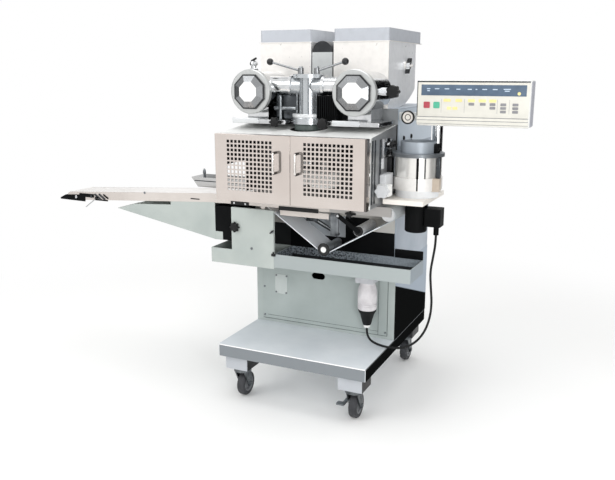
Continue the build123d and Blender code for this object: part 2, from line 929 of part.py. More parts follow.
# Guard frame: two side panels and a sloping roof on the housing, with a rod for each door
lug_levels = [
    guard_bottom + hinge_end,
    guard_bottom + door_height / 2 - hinge_lug / 2,
    guard_top - hinge_end - hinge_lug,
]
adjuster_y = guard_panel_front + adjuster_setback
adjuster_x = guard_half_width + adjuster_radius + adjuster_gap
adjuster_z = guard_bottom + adjuster_rise
lug_middle = (hinge_y + guard_panel_front + hinge_clear) / 2
lug_length = guard_panel_front - hinge_y + hinge_clear
exit_front = guard_panel_front + product_exit_margin
exit_back = nozzle_y + product_exit_behind
guard_sheets = []
for sign in (-1, 1):
    panel_x = min(sign * guard_half_width, sign * (guard_half_width - guard_sheet))
    with BuildPart() as guard_panel:
        with BuildSketch(side_plane(panel_x)):
            with BuildLine():
                Polyline(
                    (guard_panel_front, guard_bottom),
                    (housing_front, guard_bottom),
                    (housing_front, guard_back_top - guard_sheet),
                    (guard_panel_front, guard_top - guard_sheet),
                    close=True,
                )
            make_face()
        extrude(amount=guard_sheet)
        if sign < 0:
            with BuildSketch(side_plane(panel_x)):
                with Locations(((exit_front + exit_back) / 2, guard_bottom + product_exit_height / 2)):
                    Rectangle(exit_back - exit_front, product_exit_height)
            extrude(amount=guard_sheet, mode=Mode.SUBTRACT)
        with BuildSketch(Plane.XY.offset(lug_levels[0])):
            with Locations((sign * hinge_x, hinge_y)):
                Circle(hinge_rod_radius)
        extrude(amount=lug_levels[-1] + hinge_lug - lug_levels[0])
        for level in lug_levels:
            with BuildSketch(Plane.XY.offset(level)):
                with Locations((sign * hinge_x, hinge_y)):
                    Circle(hinge_barrel_radius)
                with Locations((sign * hinge_x, lug_middle)):
                    Rectangle(2 * (hinge_inset - hinge_lug_relief), lug_length)
            extrude(amount=hinge_lug)
        if sign > 0:
            with BuildSketch(Plane.XY.offset(adjuster_z - adjuster_block / 2)):
                block_reach = adjuster_x - guard_half_width + adjuster_block / 2
                with Locations((guard_half_width + block_reach / 2, adjuster_y)):
                    Rectangle(block_reach, adjuster_block)
            extrude(amount=adjuster_block)
            with BuildSketch(wall_plane(adjuster_y)):
                with Locations((adjuster_x, adjuster_z)):
                    Circle(knob_stud_radius)
            extrude(amount=adjuster_block / 2 + knob_stud)
    guard_sheets.append(guard_panel.part)
with BuildPart() as guard_roof:
    with BuildSketch(side_plane(-guard_half_width)):
        with BuildLine():
            Polyline(
                (guard_panel_front, guard_top - guard_sheet),
                (housing_front, guard_back_top - guard_sheet),
                (housing_front, guard_back_top),
                (guard_panel_front, guard_top),
                close=True,
            )
        make_face()
    extrude(amount=2 * guard_half_width)
    with BuildSketch(Plane.XY.offset(guard_bottom)):
        with Locations((0, nozzle_y)):
            Circle(nozzle_slot_radius)
    extrude(amount=door_height + 2 * roof_rise, mode=Mode.SUBTRACT)
guard_sheets.append(guard_roof.part)
guard_frame = Compound(children=guard_sheets)
guard_frame.label = "guard_frame"
export_step(guard_frame, "parts/guard_frame.step")

# Guard doors: folded pans with a square-hole grille, hinge barrels and a pull
door_middle_z = guard_bottom + door_height / 2
handle_bottom = guard_bottom + door_handle_rise - door_handle_height / 2
barrel_levels = [
    (lug_levels[0] + lug_levels[1] + hinge_lug - hinge_barrel_length) / 2,
    (lug_levels[1] + lug_levels[2] + hinge_lug - hinge_barrel_length) / 2,
]
for hand, sign in {"left": -1, "right": 1}.items():
    door_inner_x = door_meeting_x + sign * door_split / 2
    door_width = guard_half_width - sign * door_inner_x
    door_middle_x = door_inner_x + sign * door_width / 2
    leaf_x = sign * (guard_half_width - door_sheet)
    with BuildPart() as guard_door:
        with BuildSketch(wall_plane(door_back)):
            with Locations((door_middle_x, door_middle_z)):
                Rectangle(door_width, door_height)
        extrude(amount=door_depth)
        fillet(guard_door.faces().sort_by(Axis.Y)[0].edges(), min(door_edge, 0.9 * door_sheet))
        with BuildSketch(wall_plane(door_back)):
            with Locations((door_middle_x, door_middle_z)):
                Rectangle(door_width - 2 * door_sheet, door_height - 2 * door_sheet)
        extrude(amount=door_depth - door_sheet, mode=Mode.SUBTRACT)
        with BuildSketch(wall_plane(door_back)):
            with Locations((sign * grille_offset_x, guard_bottom + grille_rise)):
                with GridLocations(grille_pitch, grille_pitch, grille_columns, grille_columns):
                    Rectangle(grille_hole, grille_hole)
        extrude(amount=door_depth, mode=Mode.SUBTRACT)
        for level in barrel_levels:
            with BuildSketch(Plane.XY.offset(level)):
                with Locations((sign * hinge_x, hinge_y)):
                    Circle(hinge_barrel_radius)
                with Locations((leaf_x, (door_back + hinge_y - hinge_leaf) / 2)):
                    Rectangle(2 * door_sheet, hinge_back + hinge_leaf)
                with Locations((sign * hinge_x, hinge_y)):
                    Circle(hinge_rod_radius + shaft_fit, mode=Mode.SUBTRACT)
            extrude(amount=hinge_barrel_length)
    with BuildPart() as door_handle:
        with BuildLine(side_plane(sign * door_handle_x)):
            FilletPolyline(
                (deck_front, handle_bottom),
                (deck_front - door_handle_reach, handle_bottom),
                (deck_front - door_handle_reach, handle_bottom + door_handle_height),
                (deck_front, handle_bottom + door_handle_height),
                radius=2 * door_handle_radius,
            )
        with BuildSketch(wall_plane(deck_front)):
            with Locations((sign * door_handle_x, handle_bottom)):
                Circle(door_handle_radius)
        sweep()
    door_and_handle = Compound(children=[guard_door.part, door_handle.part])
    door_and_handle.label = "guard_door_" + hand
    export_step(door_and_handle, "parts/guard_door_" + hand + ".step")

# Forming head: the block on the housing that carries the two encrusting discs
head_top = guard_top - head_drop
head_bottom = head_top - head_height
disc_x = disc_radius + disc_gap / 2
disc_top = head_bottom - spindle_drop
with BuildPart() as forming_head:
    with BuildSketch(Plane.XY.offset(head_bottom)):
        with Locations((0, housing_front - head_depth / 2)):
            RectangleRounded(2 * head_half_width, head_depth, head_corner)
        with Locations((0, nozzle_y)):
            Circle(nozzle_pipe_radius + head_bore_gap, mode=Mode.SUBTRACT)
    extrude(amount=head_height)
    with BuildSketch(Plane.XY.offset(head_bottom)):
        with Locations((-disc_x, nozzle_y), (disc_x, nozzle_y)):
            Circle(spindle_radius + shaft_fit)
    extrude(amount=spindle_depth + seat_gap, mode=Mode.SUBTRACT)
save(forming_head, "forming_head")

for hand, sign in {"left": -1, "right": 1}.items():
    with BuildPart() as encrusting_disc:
        with BuildSketch(Plane.XY.offset(disc_top - disc_height)):
            with Locations((sign * disc_x, nozzle_y)):
                Circle(disc_radius)
        extrude(amount=disc_height)
        chamfer(encrusting_disc.edges().filter_by(GeomType.CIRCLE), disc_radius / 10)
        with BuildSketch(Plane.XY.offset(disc_top)):
            with Locations((sign * disc_x, nozzle_y)):
                Circle(spindle_radius)
        extrude(amount=spindle_drop + spindle_depth)
    save(encrusting_disc, "encrusting_disc_" + hand)

# Nozzle column: outlet pipe, flange, column with side ports, cap and lever studs
nozzle_plane = Plane((0, nozzle_y, 0))
duct_z = pump_z + duct_rise
pipe_bottom = head_bottom - spindle_drop / 2
lever_clear = lever_hub + 2 * running_gap
with BuildPart() as nozzle_body:
    with BuildSketch(nozzle_plane.offset(pipe_bottom)):
        Circle(nozzle_pipe_radius)
    extrude(amount=nozzle_flange_bottom - pipe_bottom)
    with BuildSketch(nozzle_plane.offset(nozzle_flange_bottom)):
        Circle(nozzle_flange_radius)
    extrude(amount=nozzle_flange)
    fillet(nozzle_body.edges().filter_by(GeomType.CIRCLE).sort_by(Axis.Z)[-1], nozzle_edge)
    with BuildSketch(nozzle_plane.offset(nozzle_bottom)):
        Circle(nozzle_radius)
    extrude(amount=nozzle_height)
    with BuildSketch(nozzle_plane.offset(nozzle_top)):
        Circle(nozzle_cap_radius)
    extrude(amount=nozzle_cap)
    with BuildSketch(side_plane(-nozzle_stub)):
        with Locations((nozzle_y, duct_z)):
            Circle(duct_radius)
    extrude(amount=2 * nozzle_stub)
    with BuildSketch(nozzle_plane.offset(nozzle_top + nozzle_cap)):
        with Locations((-lever_stud_x, 0), (lever_stud_x, 0)):
            Circle(lever_stud_radius)
    extrude(amount=lever_clear)
    with BuildSketch(nozzle_plane.offset(nozzle_top + nozzle_cap + lever_clear)):
        with Locations((-lever_stud_x, 0), (lever_stud_x, 0)):
            RegularPolygon(lever_nut_radius, 6)
    extrude(amount=lever_stud_radius)
    with BuildSketch(nozzle_plane.offset(pipe_bottom)):
        Circle(nozzle_bore_radius)
    extrude(amount=duct_z - pipe_bottom, mode=Mode.SUBTRACT)
    with BuildSketch(side_plane(-nozzle_stub)):
        with Locations((nozzle_y, duct_z)):
            Circle(duct_bore_radius)
    extrude(amount=2 * nozzle_stub, mode=Mode.SUBTRACT)
with BuildPart() as nozzle_seal:
    with BuildSketch(nozzle_plane.offset(nozzle_flange_bottom - nozzle_ring)):
        Circle(nozzle_ring_radius)
        Circle(nozzle_pipe_radius + shaft_fit, mode=Mode.SUBTRACT)
    extrude(amount=nozzle_ring)
    fillet(nozzle_seal.edges().filter_by(GeomType.CIRCLE).sort_by(SortBy.RADIUS)[-2:], nozzle_ring_edge)
nozzle_and_seal = Compound(children=[nozzle_body.part, nozzle_seal.part])
nozzle_and_seal.label = "nozzle_body"
export_step(nozzle_and_seal, "parts/nozzle_body.step")

# Clamp levers on the cap, each a hub, a rod and a ball
for hand, sign, reach in (("left", -1, left_lever_reach), ("right", 1, right_lever_reach)):
    root = Vector(sign * lever_stud_x, nozzle_y, lever_z + lever_hub / 2)
    ball = root + Vector(sign * reach, 0, lever_rise)
    with BuildPart() as clamp_lever:
        with BuildSketch(Plane.XY.offset(lever_z)):
            with Locations((root.X, root.Y)):
                Circle(lever_hub_radius)
        extrude(amount=lever_hub)
        with BuildSketch(Plane(root, z_dir=ball - root)):
            Circle(lever_rod_radius)
        extrude(amount=(ball - root).length)
        with Locations(Plane(ball, z_dir=ball - root)):
            Sphere(lever_ball_radius)
        with BuildSketch(Plane.XY.offset(lever_z)):
            with Locations((root.X, root.Y)):
                Circle(lever_stud_radius + shaft_fit)
        extrude(amount=lever_hub, mode=Mode.SUBTRACT)
    save(clamp_lever, "clamp_lever_" + hand)

# Pump base: a plate on the housing, slotted for the nozzle
with BuildPart() as pump_base:
    with BuildSketch(Plane.XY.offset(pump_base_bottom)):
        with Locations((0, housing_front - pump_base_depth / 2)):
            Rectangle(2 * pump_base_half_width, pump_base_depth)
        with Locations((0, nozzle_y)):
            Circle(nozzle_slot_radius, mode=Mode.SUBTRACT)
        with Locations((0, nozzle_y - pump_base_depth / 2)):
            Rectangle(2 * nozzle_slot_radius, pump_base_depth, mode=Mode.SUBTRACT)
    extrude(amount=pump_base_thickness)
save(pump_base, "pump_base")

# Pump housings: a bored barrel with a neck for its nut, a foot and a duct to the nozzle
shoulder = pump_front + pump_neck
lug_x = pump_x + pump_radius + knob_lug / 2 - knob_lug_sink
knob_x = lug_x + knob_lug / 2 - knob_lug_end
knob_z = pump_z + knob_rise
lug_y = hopper_front - knob_setback
pump_solids = []
for sign in (-1, 1):
    with BuildPart() as pump_housing:
        with BuildSketch(wall_plane(hopper_front)):
            with Locations((sign * pump_x, pump_z)):
                Circle(pump_radius)
        extrude(amount=hopper_front - shoulder)
        with BuildSketch(wall_plane(shoulder)):
            with Locations((sign * pump_x, pump_z)):
                Circle(pump_neck_radius)
        extrude(amount=pump_neck)
        with BuildSketch(Plane.XY.offset(pump_base_top)):
            with Locations((sign * pump_x, hopper_front - pump_foot_setback)):
                Rectangle(pump_foot_width, pump_foot_length)
        extrude(amount=pump_z - pump_base_top)
        duct_start = min(sign * nozzle_stub, sign * pump_x)
        with BuildSketch(side_plane(duct_start)):
            with Locations((nozzle_y, duct_z)):
                Circle(duct_radius)
        extrude(amount=pump_x - nozzle_stub)
        flange_start = min(sign * nozzle_stub, sign * (nozzle_stub + duct_flange))
        with BuildSketch(side_plane(flange_start)):
            with Locations((nozzle_y, duct_z)):
                Circle(duct_flange_radius)
        extrude(amount=duct_flange)
        with BuildSketch(side_plane(duct_start)):
            with Locations((nozzle_y, duct_z)):
                Circle(duct_bore_radius)
        extrude(amount=pump_x - nozzle_stub, mode=Mode.SUBTRACT)
        with BuildSketch(wall_plane(hopper_front - pump_back_wall)):
            with Locations((sign * pump_x, pump_z)):
                Circle(pump_bore_radius)
        extrude(amount=pump_length, mode=Mode.SUBTRACT)
        if sign > 0:
            with BuildSketch(wall_plane(lug_y)):
                with Locations((lug_x, knob_z)):
                    Rectangle(knob_lug, knob_lug_height)
            extrude(amount=knob_lug_thickness)
            with BuildSketch(wall_plane(lug_y - knob_lug_thickness)):
                with Locations((knob_x, knob_z)):
                    Circle(knob_stud_radius)
            extrude(amount=knob_stud)
    pump_solids.append(pump_housing.part)
pump_housings = Compound(children=pump_solids)
pump_housings.label = "pump_housings"
export_step(pump_housings, "parts/pump_housings.step")

# Pump nuts: a ring over the neck with an octagon face for a spanner
nut_back = shoulder - running_gap
nut_front = pump_front - running_gap - nut_plate
for hand, sign in {"left": -1, "right": 1}.items():
    with BuildPart() as pump_nut:
        with BuildSketch(wall_plane(nut_back)):
            with Locations((sign * pump_x, pump_z)):
                Circle(nut_radius)
        extrude(amount=nut_back - nut_front)
        chamfer(pump_nut.edges().filter_by(GeomType.CIRCLE), nut_edge)
        with BuildSketch(wall_plane(nut_front)):
            with Locations((sign * pump_x, pump_z)):
                RegularPolygon(nut_octagon_radius, 8, rotation=nut_turn)
        extrude(amount=nut_octagon)
        with BuildSketch(wall_plane(nut_front - nut_octagon)):
            with Locations((sign * pump_x, pump_z)):
                RegularPolygon(nut_octagon_radius - nut_edge, 8, rotation=nut_turn)
        with BuildSketch(wall_plane(nut_front - nut_octagon - nut_cone)):
            with Locations((sign * pump_x, pump_z)):
                RegularPolygon(nut_face_radius, 8, rotation=nut_turn)
        loft()
        with BuildSketch(wall_plane(nut_back)):
            with Locations((sign * pump_x, pump_z)):
                Circle(pump_neck_radius + seat_gap)
        extrude(amount=pump_neck, mode=Mode.SUBTRACT)
    save(pump_nut, "pump_nut_" + hand)


def lobed_knob(x, y, z, radius, thickness, lobes):
    # A hand knob facing the operator, its back at y, blind-bored for a stud.
    with BuildPart() as knob:
        with BuildSketch(wall_plane(y)):
            with Locations((x, z)):
                Circle(knob_body_share * radius)
                with PolarLocations(knob_lobe_place * radius, lobes):
                    Circle(knob_lobe_share * radius)
        extrude(amount=thickness)
        with BuildSketch(wall_plane(y)):
            with Locations((x, z)):
                Circle(knob_stud_radius + shaft_fit)
        extrude(amount=knob_stud + seat_gap - running_gap, mode=Mode.SUBTRACT)
    return knob


clamp_knob_back = lug_y - knob_lug_thickness - running_gap
clamp_knob = lobed_knob(knob_x, clamp_knob_back, knob_z, knob_radius, knob_thickness, knob_lobes)
save(clamp_knob, "clamp_knob")

adjuster_front = adjuster_y - adjuster_block / 2 - running_gap
adjuster_knob = lobed_knob(
    adjuster_x, adjuster_front, adjuster_z, adjuster_radius, adjuster_thickness, adjuster_lobes
)
save(adjuster_knob, "adjuster_knob")

# Hoppers: a trough with a curved rear bottom, a top flange and a loose collar; a paddle across each


def hopper_profile(inset):
    # The trough seen from the side, drawn in by the inset.
    flat_end = hopper_front + hopper_flat
    radius = hopper_bottom_radius - inset
    back = hopper_back - inset
    bottom = housing_top + inset
    turn = math.degrees(math.asin((back - flat_end) / radius))
    front_bottom = (hopper_front + inset, bottom)
    with BuildSketch() as profile:
        with BuildLine():
            front_wall = Line((hopper_front + inset, hopper_top), front_bottom)
            Line(front_bottom, (flat_end, bottom))
            curve = JernArc((flat_end, bottom), (1, 0), radius, turn)
            back_wall = Line(curve @ 1, (back, hopper_top))
            Line(back_wall @ 1, front_wall @ 0)
        make_face()
    return profile.sketch


collar_back = hopper_front + collar_depth
collar_middle = (hopper_front + collar_back) / 2
for hand, sign in {"left": -1, "right": 1}.items():
    near_x = min(sign * hopper_inner_x, sign * hopper_outer_x)
    middle_x = near_x + hopper_width / 2
    outer_wall_x = sign * hopper_outer_x
    boss_start = min(outer_wall_x, outer_wall_x + sign * paddle_boss)
    stud_start = min(outer_wall_x, outer_wall_x + sign * (paddle_boss + wing_stud))
    with BuildPart() as hopper:
        with BuildSketch(side_plane(near_x)):
            add(hopper_profile(0))
        extrude(amount=hopper_width)
        with BuildSketch(Plane.XY.offset(hopper_top - hopper_sheet)):
            with Locations((middle_x, collar_middle)):
                RectangleRounded(hopper_width + 2 * flange_lap, collar_depth + 2 * flange_lap, flange_lap)
        extrude(amount=hopper_sheet)
        with BuildSketch(side_plane(near_x + hopper_sheet)):
            add(hopper_profile(hopper_sheet))
        extrude(amount=hopper_width - 2 * hopper_sheet, mode=Mode.SUBTRACT)
        with BuildSketch(side_plane(near_x)):
            with Locations((paddle_y, paddle_z)):
                Circle(paddle_shaft_radius + shaft_fit)
        extrude(amount=hopper_width, mode=Mode.SUBTRACT)
        with BuildSketch(side_plane(boss_start)):
            with Locations((paddle_y, paddle_z)):
                Circle(paddle_boss_radius)
        extrude(amount=paddle_boss)
        with BuildSketch(side_plane(stud_start)):
            with Locations((paddle_y, paddle_z)):
                Circle(wing_stud_radius)
        extrude(amount=wing_stud + paddle_boss)
        bore_start = min(outer_wall_x - sign * hopper_sheet, outer_wall_x)
        with BuildSketch(side_plane(bore_start)):
            with Locations((paddle_y, paddle_z)):
                Circle(paddle_shaft_radius + shaft_fit)
        extrude(amount=hopper_sheet, mode=Mode.SUBTRACT)
    with BuildPart() as collar:
        with BuildSketch(Plane.XY.offset(hopper_top)):
            with Locations((middle_x, collar_middle)):
                RectangleRounded(hopper_width, collar_depth, 3 * hopper_sheet)
                inside_width = hopper_width - 2 * hopper_sheet
                inside_depth = collar_depth - 2 * hopper_sheet
                RectangleRounded(inside_width, inside_depth, 2 * hopper_sheet, mode=Mode.SUBTRACT)
        extrude(amount=collar_height)
    hopper_and_collar = Compound(children=[hopper.part, collar.part])
    hopper_and_collar.label = "hopper_" + hand
    export_step(hopper_and_collar, "parts/hopper_" + hand + ".step")
    with BuildPart() as paddle:
        with BuildSketch(side_plane(near_x + seat_gap)):
            with Locations((paddle_y, paddle_z)):
                Circle(paddle_shaft_radius)
        extrude(amount=hopper_width - 2 * seat_gap)
        blade_xs = [near_x + hopper_width * share_x for share_x in (paddle_place, 1 - paddle_place)]
        for blade_x, tilt in zip(blade_xs, (0, 90)):
            with BuildSketch(side_plane(blade_x - paddle_width / 2)):
                with Locations(Location((paddle_y, paddle_z), tilt)):
                    Rectangle(2 * paddle_radius, paddle_sheet)
            extrude(amount=paddle_width)
    save(paddle, "hopper_paddle_" + hand)
    hub_start = min(
        outer_wall_x + sign * (paddle_boss + running_gap),
        outer_wall_x + sign * (paddle_boss + running_gap + wing_hub),
    )
    with BuildPart() as wing_nut:
        with BuildSketch(side_plane(hub_start)):
            with Locations((paddle_y, paddle_z)):
                Circle(wing_hub_radius)
                SlotOverall(2 * wing_span, 2 * wing_thickness, rotation=60)
        extrude(amount=wing_hub)
        with BuildSketch(side_plane(hub_start)):
            with Locations((paddle_y, paddle_z)):
                Circle(wing_stud_radius + shaft_fit)
        extrude(amount=wing_hub, mode=Mode.SUBTRACT)
    save(wing_nut, "wing_nut_" + hand)

# Arched cover between the hoppers
arch_start = housing_top + centre_cover_height - centre_cover_half_width
with BuildPart() as centre_cover:
    with BuildSketch(wall_plane(hopper_front + centre_cover_depth)):
        with Locations((0, (housing_top + arch_start) / 2)):
            Rectangle(2 * centre_cover_half_width, arch_start - housing_top)
        with Locations((0, arch_start)):
            Circle(centre_cover_half_width)
    extrude(amount=centre_cover_depth)
    with BuildSketch(wall_plane(hopper_front + centre_cover_depth - centre_cover_sheet)):
        inner_half = centre_cover_half_width - centre_cover_sheet
        with Locations((0, (housing_top + arch_start) / 2)):
            Rectangle(2 * inner_half, arch_start - housing_top)
        with Locations((0, arch_start)):
            Circle(inner_half)
    extrude(amount=centre_cover_depth - 2 * centre_cover_sheet, mode=Mode.SUBTRACT)
save(centre_cover, "centre_cover")

# Duster shelf on the housing's right side
shelf_depth = shelf_back - shelf_front
shelf_middle_x = half_width + shelf_reach / 2
shelf_middle_y = (shelf_front + shelf_back) / 2
with BuildPart() as duster_shelf:
    with BuildSketch(Plane.XY.offset(shelf_top - shelf_lip)):
        with Locations((shelf_middle_x, shelf_middle_y)):
            Rectangle(shelf_reach, shelf_depth)
    extrude(amount=shelf_lip)
    with BuildSketch(Plane.XY.offset(shelf_top - shelf_lip)):
        with Locations((shelf_middle_x, shelf_middle_y)):
            Rectangle(shelf_reach - 2 * tray_sheet, shelf_depth - 2 * tray_sheet)
    extrude(amount=shelf_lip - shelf_sheet, mode=Mode.SUBTRACT)
    with BuildSketch(Plane.XY.offset(shelf_top - shelf_sheet)):
        with Locations((pot_x, pot_y)):
            Circle(agitator_shaft_radius + agitator_clear)
    extrude(amount=shelf_sheet, mode=Mode.SUBTRACT)
save(duster_shelf, "duster_shelf")

# Flour pot: a base on its foot, a sleeve on the base, and a necked lid
pot_plane = Plane((pot_x, pot_y, 0))
pot_bottom = shelf_top + pot_foot
pot_seam = pot_bottom + pot_band
pot_top = pot_bottom + pot_height
pot_bore = pot_radius - pot_wall
with BuildPart() as pot_base:
    with BuildSketch(pot_plane.offset(shelf_top)):
        Circle(pot_foot_radius)
    extrude(amount=pot_foot)
    with BuildSketch(pot_plane.offset(pot_bottom)):
        Circle(pot_band_radius)
    extrude(amount=pot_band)
    with BuildSketch(pot_plane.offset(pot_bottom + pot_floor)):
        Circle(pot_bore)
    extrude(amount=pot_band, mode=Mode.SUBTRACT)
    with BuildSketch(pot_plane.offset(shelf_top)):
        Circle(agitator_shaft_radius + agitator_clear)
    extrude(amount=pot_foot + pot_floor, mode=Mode.SUBTRACT)
with BuildPart() as pot_sleeve:
    with BuildSketch(pot_plane.offset(pot_seam)):
        Circle(pot_radius)
    extrude(amount=pot_top - pot_seam)
    with BuildSketch(pot_plane.offset(pot_top - pot_rim)):
        Circle(pot_rim_radius)
    extrude(amount=pot_rim)
    with BuildSketch(pot_plane.offset(pot_seam)):
        Circle(pot_bore)
    extrude(amount=pot_top - pot_seam, mode=Mode.SUBTRACT)
with BuildPart() as pot_lid:
    with BuildSketch(pot_plane.offset(pot_top)):
        Circle(pot_rim_radius)
    extrude(amount=lid_sheet)
    with BuildSketch(pot_plane.offset(pot_top + lid_sheet)):
        Circle(lid_neck_radius)
    extrude(amount=lid_neck)
    with BuildSketch(pot_plane.offset(pot_top)):
        Circle(lid_neck_radius - pot_wall)
    extrude(amount=lid_sheet + lid_neck, mode=Mode.SUBTRACT)
duster_pot = Compound(children=[pot_base.part, pot_sleeve.part, pot_lid.part])
duster_pot.label = "duster_pot"
export_step(duster_pot, "parts/duster_pot.step")

motor_top = shelf_top - shelf_sheet
motor_bottom = motor_top - duster_motor_length
box_x = pot_x + duster_motor_radius - terminal_box_sink
box_top = motor_top - terminal_box_drop
box_bottom = box_top - terminal_box_height
gland_x = box_x + terminal_box_width / 2 + gland_offset
gland_bottom = box_bottom - gland_length
with BuildPart() as duster_motor:
    with BuildSketch(pot_plane.offset(motor_bottom)):
        Circle(duster_motor_radius)
    extrude(amount=duster_motor_length)
    fillet(duster_motor.edges().filter_by(GeomType.CIRCLE).sort_by(Axis.Z)[0], duster_motor_edge)
    with BuildSketch(Plane.XY.offset(box_bottom)):
        with Locations((box_x + terminal_box_width / 2, pot_y)):
            RectangleRounded(terminal_box_width, terminal_box_depth, terminal_box_corner)
    extrude(amount=terminal_box_height)
    with BuildSketch(Plane.XY.offset(gland_bottom)):
        with Locations((gland_x, pot_y)):
            Circle(gland_radius)
    extrude(amount=gland_length)
    with BuildSketch(pot_plane.offset(motor_top - agitator_depth - seat_gap)):
        Circle(agitator_shaft_radius + shaft_fit)
    extrude(amount=agitator_depth + seat_gap, mode=Mode.SUBTRACT)
save(duster_motor, "duster_motor")

blade_bottom = pot_bottom + pot_floor + running_gap
with BuildPart() as duster_agitator:
    with BuildSketch(pot_plane.offset(motor_top - agitator_depth)):
        Circle(agitator_shaft_radius)
    extrude(amount=blade_bottom + agitator_hub - motor_top + agitator_depth)
    with BuildSketch(pot_plane.offset(blade_bottom)):
        Circle(agitator_hub_radius)
    extrude(amount=agitator_hub)
    with BuildSketch(pot_plane.offset(blade_bottom)):
        Rectangle(2 * agitator_reach, agitator_blade)
        Rectangle(agitator_blade, 2 * agitator_reach)
    extrude(amount=agitator_blade)
save(duster_agitator, "duster_agitator")

# Panel post on the shelf, and the control panel that swings on it
post_plane = Plane((post_x, post_y, 0))
with BuildPart() as panel_post:
    with BuildSketch(post_plane.offset(shelf_top)):
        Circle(post_radius)
    extrude(amount=post_height)
    with BuildSketch(post_plane.offset(sleeve_bottom - running_gap - post_collar)):
        Circle(sleeve_radius)
    extrude(amount=post_collar)
save(panel_post, "panel_post")

panel_back = panel_front + panel_depth
arm_middle_y = (panel_back + post_y) / 2
panel_middle_x = panel_left + panel_width / 2
button_z = panel_bottom + button_rise
button_centres = {"stop": panel_left + stop_button_x, "start": panel_left + start_button_x}
pocket_size = button_size + 2 * button_margin
with BuildPart() as control_panel:
    with BuildSketch(wall_plane(panel_back)):
        with Locations((panel_middle_x, panel_bottom + panel_height / 2)):
            Rectangle(panel_width, panel_height)
    extrude(amount=panel_depth)
    fillet(control_panel.edges(), panel_edge_radius)
    inside_front = panel_front + button_pocket + panel_wall
    with BuildSketch(wall_plane(panel_back - panel_wall)):
        with Locations((panel_middle_x, panel_bottom + panel_height / 2)):
            Rectangle(panel_width - 2 * panel_wall, panel_height - 2 * panel_wall)
    extrude(amount=panel_back - panel_wall - inside_front, mode=Mode.SUBTRACT)
    with BuildSketch(post_plane.offset(sleeve_bottom)):
        Circle(sleeve_radius)
        with Locations((0, arm_middle_y - post_y)):
            Rectangle(panel_arm_width, post_y - panel_back)
        Circle(post_radius + shaft_fit, mode=Mode.SUBTRACT)
    extrude(amount=panel_arm_height)
    with BuildSketch(post_plane.offset(sleeve_bottom)):
        Circle(sleeve_radius)
        Circle(post_radius + shaft_fit, mode=Mode.SUBTRACT)
    extrude(amount=sleeve_height)
    with BuildSketch(wall_plane(panel_front + button_pocket)):
        for button_x in button_centres.values():
            with Locations((button_x, button_z)):
                Rectangle(pocket_size, pocket_size)
    extrude(amount=button_pocket, mode=Mode.SUBTRACT)
save(control_panel, "control_panel")

for name, button_x in button_centres.items():
    with BuildPart() as button:
        with BuildSketch(wall_plane(panel_front + button_pocket - button_travel - running_gap)):
            with Locations((button_x, button_z)):
                RectangleRounded(button_size, button_size, button_corner)
        extrude(amount=button_pocket - running_gap)
    save(button, name + "_button")

# Side tray on the housing's left side
side_tray_bottom = belt_top - side_tray_below_belt
side_tray_top = side_tray_bottom + side_tray_height
side_tray_middle = housing_front + side_tray_back + side_tray_width / 2


def side_tray_outline(inset):
    # The tray seen from the front, with its raked left end, drawn in by the inset.
    left = -half_width - side_tray_reach + inset
    with BuildSketch() as outline:
        with BuildLine():
            Polyline(
                (left, side_tray_top),
                (left + side_tray_taper, side_tray_bottom + inset),
                (-half_width - inset, side_tray_bottom + inset),
                (-half_width - inset, side_tray_top),
                close=True,
            )
        make_face()
    return outline.sketch


with BuildPart() as side_tray:
    with BuildSketch(wall_plane(side_tray_middle + side_tray_width / 2)):
        add(side_tray_outline(0))
    extrude(amount=side_tray_width)
    with BuildSketch(wall_plane(side_tray_middle + side_tray_width / 2 - tray_sheet)):
        add(side_tray_outline(tray_sheet))
    extrude(amount=side_tray_width - 2 * tray_sheet, mode=Mode.SUBTRACT)
save(side_tray, "side_tray")

# Socket on the access panel, and the plug that hangs from it
socket_back = cabinet_front - access_panel_sheet
socket_top = tray_bottom - socket_below_top
socket_bottom = socket_top - socket_height
plug_y = socket_back - socket_reach / 2
with BuildPart() as cord_socket:
    with BuildSketch(Plane.XY.offset(socket_bottom)):
        with Locations((socket_x, plug_y)):
            RectangleRounded(socket_width, socket_reach, socket_corner)
    extrude(amount=socket_height)
save(cord_socket, "cord_socket")

plug_bottom = socket_bottom - plug_length
boot_bottom = plug_bottom - boot_length
tail_bottom = boot_bottom - plug_tail
plug_plane = Plane((socket_x, plug_y, 0))
with BuildPart() as plug_shell:
    with BuildSketch(plug_plane.offset(plug_bottom)):
        Circle(plug_radius)
    extrude(amount=plug_length)
    fillet(plug_shell.edges().filter_by(GeomType.CIRCLE).sort_by(Axis.Z)[0], plug_edge)
with BuildPart() as plug_boot:
    with BuildSketch(plug_plane.offset(plug_bottom)):
        Circle(boot_top_radius)
    with BuildSketch(plug_plane.offset(boot_bottom)):
        Circle(boot_end_radius)
    loft()
    with BuildSketch(plug_plane.offset(tail_bottom)):
        Circle(plug_tail_radius)
    extrude(amount=plug_tail)
cord_plug = Compound(children=[plug_shell.part, plug_boot.part])
cord_plug.label = "cord_plug"
export_step(cord_plug, "parts/cord_plug.step")

